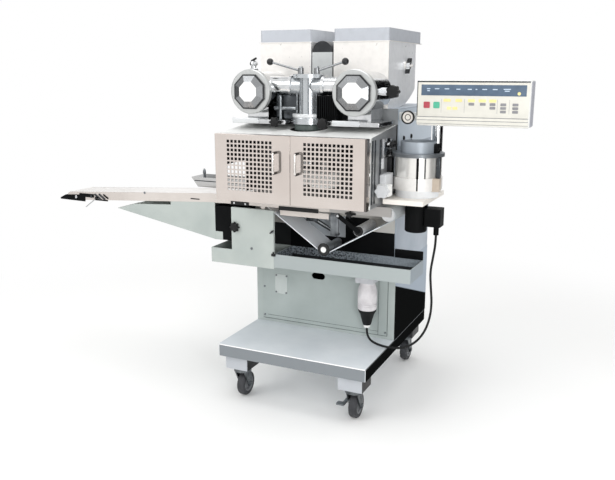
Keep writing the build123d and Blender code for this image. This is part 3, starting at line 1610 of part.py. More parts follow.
# Cord: down beside the machine, round under the tray and up into the plug
cord_start = (gland_x, pot_y, gland_bottom)
cord_end = (socket_x, plug_y, tail_bottom)
cord_run = [
    (169, -115, 673),
    (163, -121, 622),
    (157, -131, 567),
    (164, -140, 510),
    (173, -150, 452),
    (171, -161, 394),
    (154, -171, 337),
    (121, -178, 292),
    (77, -181, 265),
    (27, -178, 256),
    (-21, -166, 254),
    (-61, -146, 255),
    (-87, -122, 259),
    (-102, -106, 275),
]
cord_middle = [(half_width + beside, y, z) for beside, y, z in cord_run]
cord_points = [Vector(p) for p in (cord_start, *cord_middle, cord_end)]
cord_radii = []
for before, here, after in zip(cord_points, cord_points[1:], cord_points[2:]):
    run = min((here - before).length, (after - here).length)
    half_turn = math.radians((here - before).get_angle(after - here) / 2)
    cord_radii.append(0.45 * run / math.tan(half_turn))
print("cord radii:", [round(radius, 1) for radius in cord_radii])

with BuildPart() as motor_cord:
    with BuildLine() as cord_path:
        FilletPolyline(*cord_points, radius=cord_radii)
    with BuildSketch(Plane(cord_points[0], z_dir=cord_points[1] - cord_points[0])):
        Circle(cord_radius)
    sweep()
cord_length = sum(edge.length for edge in cord_path.edges())
cord_volume = math.pi * cord_radius**2 * cord_length
print("cord length:", round(cord_length), "volume ratio:", round(motor_cord.part.volume / cord_volume, 4))
save(motor_cord, "motor_cord")
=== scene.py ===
import bmesh
import bpy
import json
import math
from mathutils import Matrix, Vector


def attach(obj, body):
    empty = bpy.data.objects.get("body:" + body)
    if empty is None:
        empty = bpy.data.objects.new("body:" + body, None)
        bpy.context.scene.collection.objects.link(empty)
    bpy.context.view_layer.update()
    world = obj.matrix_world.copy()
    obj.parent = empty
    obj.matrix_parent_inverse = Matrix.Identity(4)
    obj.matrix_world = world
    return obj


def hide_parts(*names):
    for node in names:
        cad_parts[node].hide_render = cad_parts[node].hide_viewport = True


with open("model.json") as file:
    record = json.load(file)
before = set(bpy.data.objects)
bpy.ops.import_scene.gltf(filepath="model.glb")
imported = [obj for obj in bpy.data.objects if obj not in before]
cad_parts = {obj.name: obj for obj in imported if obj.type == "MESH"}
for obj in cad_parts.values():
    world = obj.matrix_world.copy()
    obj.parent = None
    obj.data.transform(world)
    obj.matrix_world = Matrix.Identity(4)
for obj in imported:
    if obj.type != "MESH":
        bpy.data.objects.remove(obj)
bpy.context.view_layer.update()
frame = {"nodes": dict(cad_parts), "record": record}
nodes = frame["nodes"]
bodyOf = {node: body for body, members in frame["record"]["behaviour"]["bodies"].items() for node in members}
slotOf = {row["node"]: row["material_slot"] for row in frame["record"]["subparts"]}
print("frame loaded:", len(nodes), "nodes")


# Helpers

def hexToLinear(code):
    parts = [int(code[i:i + 2], 16) / 255 for i in (1, 3, 5)]
    return [p / 12.92 if p <= 0.04045 else ((p + 0.055) / 1.055) ** 2.4 for p in parts] + [1.0]


def addNode(tree, kind, inputs=None, out=0, **settings):
    # one node, a shader's unless its kind says otherwise, with its settings, values and links; back comes the
    # output that is wanted
    node = tree.nodes.new(kind if "Node" in kind else "ShaderNode" + kind)
    for key, value in settings.items():
        setattr(node, key, value)
    for key, value in (inputs or {}).items():
        if isinstance(value, bpy.types.NodeSocket):
            tree.links.new(value, node.inputs[key])
        else:
            node.inputs[key].default_value = value
    return node.outputs[out] if len(node.outputs) else node


def perMetre(millimetres):
    return 1000 / millimetres


def mm(*values):
    return Vector(values) / 1000


def link(obj):
    bpy.context.scene.collection.objects.link(obj)
    return obj


def finishPiece(obj, body, stands=()):
    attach(obj, body)
    if stands:
        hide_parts(*stands)
    return obj


def smoothByAngle(mesh, degrees=35):
    bm = bmesh.new()
    bm.from_mesh(mesh)
    limit = math.radians(degrees)
    for face in bm.faces:
        face.smooth = True
    for edge in bm.edges:
        edge.smooth = len(edge.link_faces) != 2 or edge.calc_face_angle(0) < limit
    bm.to_mesh(mesh)
    bm.free()


def applyModifiers(obj):
    bpy.context.view_layer.update()
    evaluated = obj.evaluated_get(bpy.context.evaluated_depsgraph_get())
    mesh = bpy.data.meshes.new_from_object(evaluated)
    mesh.name = obj.name
    obj.modifiers.clear()
    obj.data = mesh
    return obj


def meshPiece(name, bm, materials, degrees=35):
    mesh = bpy.data.meshes.new(name)
    bm.to_mesh(mesh)
    bm.free()
    for material in materials:
        mesh.materials.append(material)
    smoothByAngle(mesh, degrees)
    return link(bpy.data.objects.new(name, mesh))


# Shapes for small pieces, in millimetres, each giving back the faces it made

def addBlock(bm, low, high, soft=1.0):
    # a block with rounded edges
    earlier = set(bm.faces)
    made = bmesh.ops.create_cube(bm, size=1.0)["verts"]
    low, high = mm(*low), mm(*high)
    size = high - low
    bmesh.ops.scale(bm, vec=size, verts=made)
    bmesh.ops.translate(bm, vec=(low + high) / 2, verts=made)
    edges = list({edge for vert in made for edge in vert.link_edges})
    width = min(soft / 1000, min(size) / 3)
    bmesh.ops.bevel(bm, geom=edges, offset=width, segments=2, affect="EDGES", profile=0.5)
    return [face for face in bm.faces if face not in earlier]


def addBar(bm, start, end, width, thick):
    # a flat bar with rounded ends between two points of a plane that faces the front
    start, end = mm(*start), mm(*end)
    along = (end - start).normalized()
    across = along.cross(Vector((0, 1, 0))) * width / 2000
    deep = Vector((0, thick / 2000, 0))
    rim = []
    for centre, first in ((start, math.pi / 2), (end, -math.pi / 2)):
        for step in range(9):
            angle = first + math.pi * step / 8
            rim.append(centre + along * math.cos(angle) * width / 2000 + across * math.sin(angle))
    front = [bm.verts.new(point - deep) for point in rim]
    back = [bm.verts.new(point + deep) for point in rim]
    faces = [bm.faces.new(front), bm.faces.new(list(reversed(back)))]
    for i in range(len(rim)):
        j = (i + 1) % len(rim)
        faces.append(bm.faces.new([front[j], front[i], back[i], back[j]]))
    return faces


def addRings(bm, origin, axis, sides, rings, closed=False, capped=False):
    # a skin over rings along an axis; each ring is its place on the axis and its reach on every side
    origin = mm(*origin)
    turn = Vector(axis).to_track_quat("Z", "Y").to_matrix()
    loops = []
    for along, reaches in rings:
        loops.append([])
        for i, reach in enumerate(reaches):
            angle = 2 * math.pi * i / sides
            spot = mm(reach * math.cos(angle), reach * math.sin(angle), along)
            loops[-1].append(bm.verts.new(origin + turn @ spot))
    faces = [bm.faces.new(loops[0][::-1]), bm.faces.new(loops[-1])] if capped else []
    pairs = list(zip(loops, loops[1:])) + ([(loops[-1], loops[0])] if closed else [])
    for a, b in pairs:
        for i in range(sides):
            j = (i + 1) % sides
            loop = [a[i % len(a)], a[j % len(a)], b[j % len(b)], b[i % len(b)]]
            loop = [v for k, v in enumerate(loop) if v not in loop[:k]]
            if len(loop) > 2:
                faces.append(bm.faces.new(loop))
    return faces


def addTurned(bm, origin, axis, profile, sides=40, closed=False, corners=0):
    # a turned shape from (along, radius) pairs; corners makes its rings polygons with that many flats
    shares = [1] * sides
    if corners:
        part = 2 * math.pi / corners
        turns = [2 * math.pi * i / sides for i in range(sides)]
        shares = [math.cos(part / 2) / math.cos(angle % part - part / 2) for angle in turns]
    rings = [(along, [radius * share for share in shares] if radius > 1e-6 else [0])
             for along, radius in profile]
    return addRings(bm, origin, axis, sides, rings, closed)


def addDisc(bm, centre, axis, radius, thick, rim, inset, sides=24, corners=0):
    # a flat head whose rim is cut back by inset over its outer part
    profile = [(0, 0), (0, radius), (thick - rim, radius), (thick, radius - inset), (thick, 0)]
    return addTurned(bm, centre, axis, profile, sides, False, corners)


def addRod(bm, start, end, radius, chamfer=0.6):
    length = (Vector(end) - Vector(start)).length
    cut = min(chamfer, radius / 2)
    profile = [(0, 0), (0, radius - cut), (cut, radius), (length - cut, radius), (length, radius - cut),
               (length, 0)]
    return addTurned(bm, start, Vector(end) - Vector(start), profile, 20)


# a knob's outline: shares of its thickness and of its radius
knobOutline = [(0, 0.55), (0.06, 0.72), (0.22, 0.97), (0.5, 1.0), (0.8, 0.97), (0.95, 0.86), (1, 0.7)]


def addKnob(bm, centre, axis, radius, thick, lobes, depth=0.14):
    # a lobed hand knob that stands out along its axis
    sides = lobes * 8
    wave = [1 - depth + depth * math.cos(lobes * 2 * math.pi * i / sides) for i in range(sides)]
    rings = [(along * thick, [radius * share * reach for reach in wave]) for along, share in knobOutline]
    return addRings(bm, centre, axis, sides, rings, capped=True)


shapeMakers = {"block": addBlock, "bar": addBar, "turned": addTurned, "disc": addDisc, "rod": addRod,
               "knob": addKnob}


def makeTrim(name, slot, finishes, shapes, body="machine", stands=()):
    # a small piece from shapes: kind, which of its finishes, then the shape's sizes
    bm = bmesh.new()
    for kind, index, *sizes in shapes:
        for face in shapeMakers[kind](bm, *sizes):
            face.material_index = index
    bmesh.ops.recalc_face_normals(bm, faces=bm.faces)
    piece = meshPiece(name, bm, [finish[key] for key in finishes])
    return finishPiece(piece, body, stands)


# Geometry Nodes tree that sets copies of one shape on points, each aimed and sized by the point

def makeCopyTree():
    tree = bpy.data.node_groups.new("placeCopies", "GeometryNodeTree")
    inputs = {"Points": "Geometry", "Shape": "Object", "Size": "Float", "Finish": "Material"}
    for name, kind in inputs.items():
        tree.interface.new_socket(name, in_out="INPUT", socket_type="NodeSocket" + kind)
    tree.interface.new_socket("Copies", in_out="OUTPUT", socket_type="NodeSocketGeometry")
    given = addNode(tree, "NodeGroupInput").node.outputs
    points = addNode(tree, "GeometryNodeMeshToPoints", {"Mesh": given["Points"]})
    aim = addNode(tree, "GeometryNodeInputNamedAttribute", {"Name": "aim"}, data_type="FLOAT_VECTOR")
    span = addNode(tree, "GeometryNodeInputNamedAttribute", {"Name": "span"}, data_type="FLOAT_VECTOR")
    turn = addNode(tree, "FunctionNodeAlignRotationToVector", {"Vector": aim}, axis="Z")
    sized = addNode(tree, "VectorMath", {0: span, "Scale": given["Size"]}, operation="SCALE")
    shape = addNode(tree, "GeometryNodeObjectInfo", {"Object": given["Shape"]}, out="Geometry")
    copies = addNode(tree, "GeometryNodeInstanceOnPoints", {
        "Points": points, "Instance": shape, "Rotation": turn, "Scale": sized})
    real = addNode(tree, "GeometryNodeRealizeInstances", {"Geometry": copies})
    done = addNode(tree, "GeometryNodeSetMaterial", {"Geometry": real, "Material": given["Finish"]})
    addNode(tree, "NodeGroupOutput", {"Copies": done})
    return tree


def placeCopies(name, makeShape, spots, material, body):
    # spots are (place, aim, span) rows in millimetres; a shape's own size is a millimetre
    shape = makeShape()
    mesh = bpy.data.meshes.new(name)
    mesh.from_pydata([mm(*place) for place, aim, span in spots], [], [])
    aims = mesh.attributes.new("aim", "FLOAT_VECTOR", "POINT")
    spans = mesh.attributes.new("span", "FLOAT_VECTOR", "POINT")
    for i, (place, aim, span) in enumerate(spots):
        aims.data[i].vector = aim
        spans.data[i].vector = span
    piece = link(bpy.data.objects.new(name, mesh))
    modifier = piece.modifiers.new("copies", "NODES")
    modifier.node_group = copyTree
    sockets = {item.name: item.identifier for item in copyTree.interface.items_tree if item.in_out == "INPUT"}
    modifier[sockets["Shape"]] = shape
    modifier[sockets["Size"]] = 1.0
    modifier[sockets["Finish"]] = material
    applyModifiers(piece)
    smoothByAngle(piece.data)
    bpy.data.objects.remove(shape)
    return finishPiece(piece, body)


copyTree = makeCopyTree()
print("helpers ready")

# Camera, at the photograph's viewing angle

cameraLook = {
    "location": (1.1613, -2.7134, 1.3068),
    "yaw": 0.4355,
    "pitch": 0.2296,
    "lens": 42.23,
    "sensor": 36.0,
}


def makeCamera():
    data = bpy.data.cameras.new("camera")
    data.lens = cameraLook["lens"]
    data.sensor_width = cameraLook["sensor"]
    camera = link(bpy.data.objects.new("camera", data))
    camera.location = cameraLook["location"]
    camera.rotation_euler = (math.pi / 2 - cameraLook["pitch"], 0, cameraLook["yaw"])
    bpy.context.scene.camera = camera


makeCamera()
print("camera set")

# Materials

finish = {}


# a Mix node's sockets: 0 is the share, 2 and 3 are its two values, 6 and 7 its two colours
colourMix = {"out": 2, "data_type": "RGBA"}
bandBlur = 0.0002  # half the width, in metres, over which one band turns into the next


def startMaterial(name, values=None):
    material = bpy.data.materials.new(name)
    material.use_nodes = True
    tree = material.node_tree
    tree.nodes.clear()
    surface = addNode(tree, "BsdfPrincipled", values)
    addNode(tree, "OutputMaterial", {"Surface": surface})
    place = addNode(tree, "TexCoord", out="Object")
    finish[name] = material
    return tree, surface.node, place


def boxMask(tree, place, low, high):
    # one inside a box given in millimetres, nothing outside it
    low, high = mm(*low), mm(*high)
    offset = addNode(tree, "VectorMath", {0: place, 1: (low + high) / 2}, operation="SUBTRACT")
    reach = addNode(tree, "VectorMath", {0: offset}, operation="ABSOLUTE")
    past = addNode(tree, "VectorMath", {0: reach, 1: (high - low) / 2}, operation="SUBTRACT")
    axes = addNode(tree, "SeparateXYZ", {"Vector": past}).node.outputs
    worst = addNode(tree, "Math", {0: axes["X"], 1: axes["Y"]}, operation="MAXIMUM")
    worst = addNode(tree, "Math", {0: worst, 1: axes["Z"]}, operation="MAXIMUM")
    return addNode(tree, "Math", {0: worst, 1: 0.0}, operation="LESS_THAN")


# boxes of a finish that have a colour of their own: two corners in millimetres, then the colour
patches = {
    "deckEnamel": [  # painted shade on the lip, a painted highlight along its bend, and painted shade along the top's right edge
        ((-316, -392, 190), (313, -388.5, 238), "#858A8E"), ((-316, -392, 238), (313, -387, 242), "#FFFFFF"),
        ((313, -392, 238.4), (316, 392, 242), "#6C6F71")],
    "housingEnamel": [
        ((-316, -76, 829), (313, -74.5, 1172), "#1D1F20"),  # painted shade at the back of the chamber
        ((215, -76, 1110), (313, -74.5, 1172), "#8A8D8F"),  # painted shade behind the pumps
        ((-316, -76, 690), (313, -74.5, 829), "#CBC9C4"),  # bare sheet behind the belt
        # painted shade on the front below the belt, and painted light on the upper right side
        ((-316, -76, 545), (313, -74.5, 690), "#232526"), ((313.5, -76, 1030), (316, 395, 1167), "#C6D0DA")],
    "rollerPlateEnamel": [  # two lighter areas
        ((205, -86, 690), (312, -74, 745), "#C4C2BD"), ((-90, -86, 655), (105, -74, 745), "#B4BABF")],
    "casterEnamel": [  # painted shade on the blocks' sides and on the whole rear right block
        ((-196, -372, 120), (-194.2, -268, 240), "#1A1B1C"),
        ((294.2, -372, 120), (296, -268, 240), "#1A1B1C"), ((190, 260, 120), (300, 380, 240), "#2A2B2D")],
    "doorSteel": [  # pull handles, a painted highlight in front and painted shade behind, and painted shade on the hinge side
        ((-51, -430, 930), (51, -419.5, 1040), "#E4DFDA"),
        ((-51, -419.5, 930), (51, -390.6, 1040), "#1C1A19"),
        ((297, -400, 820), (315, -370, 1085), "#6B6562")],
    "railSteel": [((98, -232, 780), (345, -228, 822), "#A9A6A3")],  # painted shade under the guard
    "pvcBelt": [  # painted light on its lower run, and painted shade at its end
        ((-140, -240, 600), (330, -70, 770), "#EEF3F8"), ((300, -240, 700), (440, -70, 832), "#B4B9BC")],
    "hopperFinish": [  # painted light on the sides, in a colder tint
        ((269.3, -80, 1165), (271, 335, 1418.8), "#F2F4F7"),
        ((-49.5, -90, 1165), (-43, 335, 1418.8), "#FFFFFF"),
        ((-48.6, -90, 1419), (-43, 335, 1466), "#E2E6EC")],
    "potFinish": [((306, -215, 884), (324, -15, 1002), "#77797A")],  # its shaded left side
    "guardFinish": [((-304.2, -348.6, 825), (304.2, -74, 1076.5), "#141516")],  # painted shade inside
    "trayEnamel": [  # painted shade on the back wall and on the right end
        ((-134.8, -82, 540), (426.8, -74, 563), "#1E2124"),
        ((428.4, -243, 540), (430, -74, 596.4), "#8C979F")],
}


def paintPatches(tree, place, colour, name):
    for low, high, code in patches.get(name, ()):
        mask = boxMask(tree, place, low, high)
        colour = addNode(tree, "Mix", {0: mask, 6: colour, 7: hexToLinear(code)}, **colourMix)
    return colour


def blendTones(tree, value, low, high, colour, shade):
    # one tone up to low, the other from high on
    share = addNode(tree, "MapRange", {"Value": value, "From Min": low, "From Max": high})
    tones = {0: share, 6: hexToLinear(colour), 7: hexToLinear(shade)}
    return addNode(tree, "Mix", tones, **colourMix)


def wireSurface(tree, shader, colour, rough, height, deepMm, strength):
    # colour, roughness and the bump that a height gives, led to the shader
    relief = {"Height": height, "Distance": deepMm / 1000, "Strength": strength}
    bump = addNode(tree, "Bump", relief)
    for key, socket in (("Base Color", colour), ("Roughness", rough), ("Normal", bump)):
        tree.links.new(socket, shader.inputs[key])


# stoved enamel on folded steel: even colour with faint clouds, a soft gloss and fine orange peel, whose grain
# is 1 mm on the real paint and coarser here to show
enamels = {  # two tones, roughness, gloss, grain in mm
    "greyEnamel": ("#B7BEBA", "#A9B1AE", 0.42, 0.4, 4),
    "accessPanelEnamel": ("#AEB7B5", "#A1AAA8", 0.42, 0.4, 4),
    "cabinetEnamel": ("#B5BDBB", "#A8B0AE", 0.45, 0.0, 4),
    "deckEnamel": ("#DBE0E4", "#D0D6DB", 0.45, 0.0, 4),
    "housingEnamel": ("#ABB4BE", "#9EA8B3", 0.42, 0.3, 4),
    "blackEnamel": ("#0C0D0E", "#141516", 0.5, 0.06, 4),
    "rollerPlateEnamel": ("#0C0D0E", "#141516", 0.5, 0.06, 4),
    "casterEnamel": ("#BCC0C5", "#B0B4BA", 0.4, 0.3, 4),
    "paleEnamel": ("#E3E6E6", "#D6DADA", 0.38, 0.4, 4),
    "seamShade": ("#5B615F", "#4B504F", 0.6, 0.1, 4),
    "plateEnamel": ("#C6CCCA", "#BAC1BF", 0.36, 0.4, 4),
}
enamelMarks = {"cloudMm": 160, "clouds": (0.35, 0.7), "scuffMm": 40, "scuffs": (-0.07, 0.09), "deepMm": 0.12}

# injection-moulded plastic and rubber: even colour, fine spark-eroded grain, low gloss
mouldings = {  # two tones, roughness, gloss, grain in mm
    "blackPlastic": ("#101011", "#19191A", 0.42, 0.3, 1.5),
    "whitePlastic": ("#EFEFED", "#E8E8E6", 0.36, 0.45, 1.5),
    "plugPlastic": ("#D9D6D8", "#BDB9BC", 0.4, 0.35, 2),
    "panelPlastic": ("#DCDAD1", "#D5D3CA", 0.36, 0.4, 1.5),
    "knobPlastic": ("#D6D8DA", "#C9CBCE", 0.4, 0.4, 1.5),
    "greyPlastic": ("#C6C7CB", "#B4B5BA", 0.4, 0.4, 1.5),
    "redPlastic": ("#B54C58", "#A2404C", 0.35, 0.45, 1.5),
    "greenPlastic": ("#55B394", "#469F81", 0.35, 0.45, 1.5),
    "yellowPlastic": ("#F3E3A2", "#E9D68C", 0.4, 0.4, 1.5),
    "keyPlastic": ("#8E8E91", "#7C7C80", 0.45, 0.35, 1.5),
    "stripAcrylic": ("#53677C", "#485A6E", 0.45, 0.5, 4),
    "litSegment": ("#C9D8E6", "#B4C6D8", 0.3, 0.4, 2),
    "beigePlastic": ("#BDB0A1", "#AEA192", 0.42, 0.35, 1.5),
    "cordRubber": ("#0F1011", "#191A1B", 0.55, 0.25, 1.5),
    "tyreRubber": ("#48494C", "#36373A", 0.65, 0.25, 3),
    "wheelNylon": ("#7B7D80", "#67696D", 0.45, 0.35, 2),
    "pvcBelt": ("#ECEAE8", "#E0DDDA", 0.5, 0.3, 2),
}
mouldMarks = {"cloudMm": 35, "clouds": (0.35, 0.75), "scuffMm": 9, "scuffs": (-0.06, 0.1), "deepMm": 0.05}

# painted shade on the right side: dark below a line that falls towards the back, metre for metre, and above
# it the colour given for each finish
sideLook = {"from": 0.3136, "slope": 0.34, "line": (0.450, 0.454), "lower": "#121313",
            "upper": {"cabinetEnamel": "#A7B1BC", "deckEnamel": "#121313"}}


# paints the shade onto a finish's right side
def paintedSideShade(tree, place, colour, upper):
    across = addNode(tree, "SeparateXYZ", {"Vector": place}).node.outputs
    sloped = {0: across["Y"], 1: sideLook["slope"], 2: across["Z"]}
    tilted = addNode(tree, "Math", sloped, operation="MULTIPLY_ADD")
    sheet = blendTones(tree, tilted, *sideLook["line"], sideLook["lower"], upper)
    start = sideLook["from"]
    beyond = addNode(tree, "MapRange", {
        "Value": across["X"], "From Min": start - bandBlur, "From Max": start + bandBlur})
    return addNode(tree, "Mix", {0: beyond, 6: colour, 7: sheet}, **colourMix)


def paintOrPlastic(name, look, marks):
    tone, shade, rough, gloss, grainMm = look
    tree, shader, place = startMaterial(name, {"Specular IOR Level": gloss})
    clouds = addNode(tree, "TexNoise", {"Vector": place, "Scale": perMetre(marks["cloudMm"]), "Detail": 4})
    colour = blendTones(tree, clouds, *marks["clouds"], tone, shade)
    if name in sideLook["upper"]:
        colour = paintedSideShade(tree, place, colour, sideLook["upper"][name])
    colour = paintPatches(tree, place, colour, name)
    wear = addNode(tree, "TexNoise", {"Vector": place, "Scale": perMetre(marks["scuffMm"]), "Detail": 3})
    least, most = marks["scuffs"]
    spread = addNode(tree, "MapRange", {"Value": wear, "To Min": rough + least, "To Max": rough + most})
    grain = addNode(tree, "TexNoise", {"Vector": place, "Scale": perMetre(grainMm), "Detail": 2})
    wireSurface(tree, shader, colour, spread, grain, marks["deepMm"], 0.25)


wideGrain, deepGrain, noGrain = (0.03, 1, 1), (1, 0.03, 1), (1, 1, 1)  # how far each axis is drawn out

# cold-rolled stainless sheet, ground one way: fine lines that spread its reflections, and faint cloudy marks
sheets = {  # two tones, roughness, metallic, grain
    "doorSteel": ("#D8CFC9", "#CDC3BC", 0.12, 0.75, wideGrain),
    # painted shade for the grille holes' edges
    "grilleEdge": ("#4A4542", "#383431", 0.4, 0.3, noGrain),
    "rollerSteel": ("#E4E6E7", "#D2D5D7", 0.3, 0.3, deepGrain),
    "plainSteel": ("#C9C9C8", "#B2B3B4", 0.3, 0.9, deepGrain),
    "railSteel": ("#D9D2CC", "#CAC2BC", 0.36, 0.5, wideGrain),
    "shelfSteel": ("#F8F3EC", "#ECE6DE", 0.38, 0.2, deepGrain),
}


def groundSheet(name, look):
    tone, shade, rough, metal, grain = look
    tree, shader, place = startMaterial(name, {"Metallic": metal})
    stretched = addNode(tree, "Mapping", {"Vector": place, "Scale": grain})
    # 0.1 mm on the real sheet, coarser to show
    lines = addNode(tree, "TexNoise", {"Vector": stretched, "Scale": perMetre(1.4), "Detail": 3})
    marks = addNode(tree, "TexNoise", {"Vector": place, "Scale": perMetre(210), "Detail": 3})
    colour = blendTones(tree, marks, 0.38, 0.75, tone, shade)
    streaks = addNode(tree, "MapRange", {"Value": lines, "From Min": 0.4, "From Max": 0.8, "To Max": 0.35})
    colour = addNode(tree, "Mix", {0: streaks, 6: colour, 7: hexToLinear(shade)}, **colourMix)
    colour = paintPatches(tree, place, colour, name)
    spread = addNode(tree, "MapRange", {
        "Value": lines, "From Min": 0.3, "From Max": 0.7, "To Min": rough - 0.06, "To Max": rough + 0.08})
    wireSurface(tree, shader, colour, spread, lines, 0.02, 0.25)


# turned and buffed castings: sharp reflections, drawn out by the slow waves that hand polishing leaves
castings = {  # two tones, roughness, the waves' spacing and depth in mm
    "buffedSteel": ("#DCDDDE", "#C6C8CA", 0.12, 34, 0.5),
    "turnedSteel": ("#D2D3D4", "#BBBDBF", 0.18, 16, 0.12),
    "zincSteel": ("#8D9194", "#6F7377", 0.34, 9, 0.08),
    "forkSteel": ("#74787B", "#4C4F52", 0.34, 9, 0.08),
    "darkSteel": ("#4C4F52", "#3A3D40", 0.3, 12, 0.1),
}


def buffedCasting(name, look):
    tone, shade, rough, waveMm, waveDeep = look
    tree, shader, place = startMaterial(name, {"Metallic": 1.0})
    smear = addNode(tree, "TexNoise", {"Vector": place, "Scale": perMetre(26), "Detail": 3})
    colour = blendTones(tree, smear, 0.4, 0.75, tone, shade)
    spread = addNode(tree, "MapRange", {
        "Value": smear, "From Min": 0.3, "From Max": 0.75, "To Min": rough * 0.7, "To Max": rough * 1.5})
    waves = addNode(tree, "TexNoise", {"Vector": place, "Scale": perMetre(waveMm), "Detail": 1})
    wireSurface(tree, shader, colour, spread, waves, waveDeep, 0.5)


# pieces finished in bands along one axis, each band from its start: metres, colour, metallic, roughness
banded = {
    "nutFinish": ("Y", [  # machined face, facets, painted shade in the groove, ring
        (-1, "#F7F7F5", 0.25, 0.3), (-0.3010, "#909294", 0.8, 0.25), (-0.2906, "#1E2022", 0.3, 0.35),
        (-0.2838, "#C2C4C3", 0.6, 0.3)]),
    "leftLeverFinish": ("X", [(-1, "#101011", 0.0, 0.3), (-0.1506, "#8E9092", 1.0, 0.22)]),
    "rightLeverFinish": ("X", [(-1, "#8E9092", 1.0, 0.22), (0.1335, "#101011", 0.0, 0.3)]),
    "hopperFinish": ("Z", [(-1, "#F0EDE9", 0.3, 0.3), (1.4188, "#BCC0C7", 0.12, 0.36)]),
    "nozzleFinish": ("Z", [  # seal ring, then the polished body
        (-1, "#C9CBCC", 1.0, 0.16), (1.0885, "#4A5552", 0.0, 0.45), (1.1141, "#BCC0C3", 0.75, 0.26)]),
    "potFinish": ("Z", [  # foot, base band, sleeve, rim, lid neck
        (-1, "#E6E8EA", 0.0, 0.4), (0.882, "#EBE9E6", 0.25, 0.32), (0.928, "#F2F0EC", 0.62, 0.2),
        (1.003, "#72767A", 0.6, 0.35), (1.0161, "#A3ABB3", 0.3, 0.4)]),
    "tensionFinish": ("Y", [(-1, "#0E0F10", 0.1, 0.45), (-0.2266, "#94979A", 0.6, 0.3)]),
    "guardFinish": ("X", [  # roof and left side, right side more metallic and darker with painted shade, white block
        (-1, "#EEEFED", 0.1, 0.42), (0.3046, "#A3A5A7", 0.6, 0.32), (0.3056, "#F0F0EE", 0.0, 0.4)]),
    "wingFinish": ("Z", [
        (-1, "#2C2E30", 0.6, 0.3), (1.316, "#DADBDC", 1.0, 0.15), (1.340, "#2C2E30", 0.6, 0.3)]),
    "coverFinish": ("Z", [(-1, "#C3C6C6", 0.3, 0.4), (1.379, "#2B2D30", 0.5, 0.3)]),
    # the panel's right side darker, as painted shade
    "panelFinish": ("X", [(-1, "#E6E6E3", 0.0, 0.36), (0.8055, "#BABCC4", 0.0, 0.45)]),
}

handlingFilm = "#77797B"  # the thin grey film that hands leave on a bright surface


def bandedFinish(name, look):
    tree, shader, place = startMaterial(name)
    axis, bands = look
    along = addNode(tree, "SeparateXYZ", {"Vector": place}, out=axis)
    start, code, metal, rough = bands[0]
    colour = hexToLinear(code)
    for start, code, bandMetal, bandRough in bands[1:]:
        above = addNode(tree, "MapRange", {
            "Value": along, "From Min": start - bandBlur, "From Max": start + bandBlur})
        colour = addNode(tree, "Mix", {0: above, 6: colour, 7: hexToLinear(code)}, **colourMix)
        metal = addNode(tree, "Mix", {0: above, 2: metal, 3: bandMetal})
        rough = addNode(tree, "Mix", {0: above, 2: rough, 3: bandRough})
    colour = paintPatches(tree, place, colour, name)
    smear = addNode(tree, "TexNoise", {"Vector": place, "Scale": perMetre(24), "Detail": 3})
    film = addNode(tree, "MapRange", {
        "Value": smear, "From Min": 0.45, "From Max": 0.8, "To Max": 0.12})
    dulled = addNode(tree, "Mix", {0: film, 6: colour, 7: hexToLinear(handlingFilm)}, **colourMix)
    tree.links.new(metal, shader.inputs["Metallic"])
    spread = addNode(tree, "MapRange", {"Value": smear, "To Min": 0.75, "To Max": 1.35})
    varied = addNode(tree, "Math", {0: rough, 1: spread}, operation="MULTIPLY")
    waves = addNode(tree, "TexNoise", {"Vector": place, "Scale": perMetre(18), "Detail": 1})
    wireSurface(tree, shader, dulled, varied, waves, 0.15, 0.4)


# enamelled tray: the same grey paint, with flour and grease dried on its floor as dark speckle
trayLook = {"colour": "#A1A9A9", "floor": "#98A1A8", "speck": "#23262A", "clean": (0.06, 0.26),
            "inside": ((-134.8, -239.8, 543), (426.8, -70, 596.2))}


def speckledTray(name, look):
    tree, shader, place = startMaterial(name)
    mask = boxMask(tree, place, *look["inside"])
    crumbs = addNode(tree, "TexNoise", {"Vector": place, "Scale": perMetre(7), "Detail": 5})
    dark = addNode(tree, "MapRange", {"Value": crumbs, "From Min": 0.42, "From Max": 0.6})
    across = addNode(tree, "SeparateXYZ", {"Vector": place}, out="X")
    cleanFrom, cleanTo = look["clean"]
    soiled = addNode(tree, "MapRange", {
        "Value": across, "From Min": cleanFrom, "From Max": cleanTo, "To Min": 1.0, "To Max": 0.22})
    dark = addNode(tree, "Math", {0: dark, 1: soiled}, operation="MULTIPLY")
    tones = {0: dark, 6: hexToLinear(look["floor"]), 7: hexToLinear(look["speck"])}
    soil = addNode(tree, "Mix", tones, **colourMix)
    colour = addNode(tree, "Mix", {0: mask, 6: hexToLinear(look["colour"]), 7: soil}, **colourMix)
    colour = paintPatches(tree, place, colour, name)
    rough = addNode(tree, "MapRange", {"Value": crumbs, "To Min": 0.36, "To Max": 0.55})
    wireSurface(tree, shader, colour, rough, crumbs, 0.15, 0.3)


materialMakers = (
    (paintOrPlastic, enamels, enamelMarks), (paintOrPlastic, mouldings, mouldMarks), (groundSheet, sheets),
    (buffedCasting, castings), (bandedFinish, banded), (speckledTray, {"trayEnamel": trayLook}))
for makeMaterial, looks, *marks in materialMakers:
    for name, look in looks.items():
        makeMaterial(name, look, *marks)
print("materials made:", len(finish))

# Studio: a white surround, a pale floor that fades into it, soft lamps, and dark cards for reflections alone

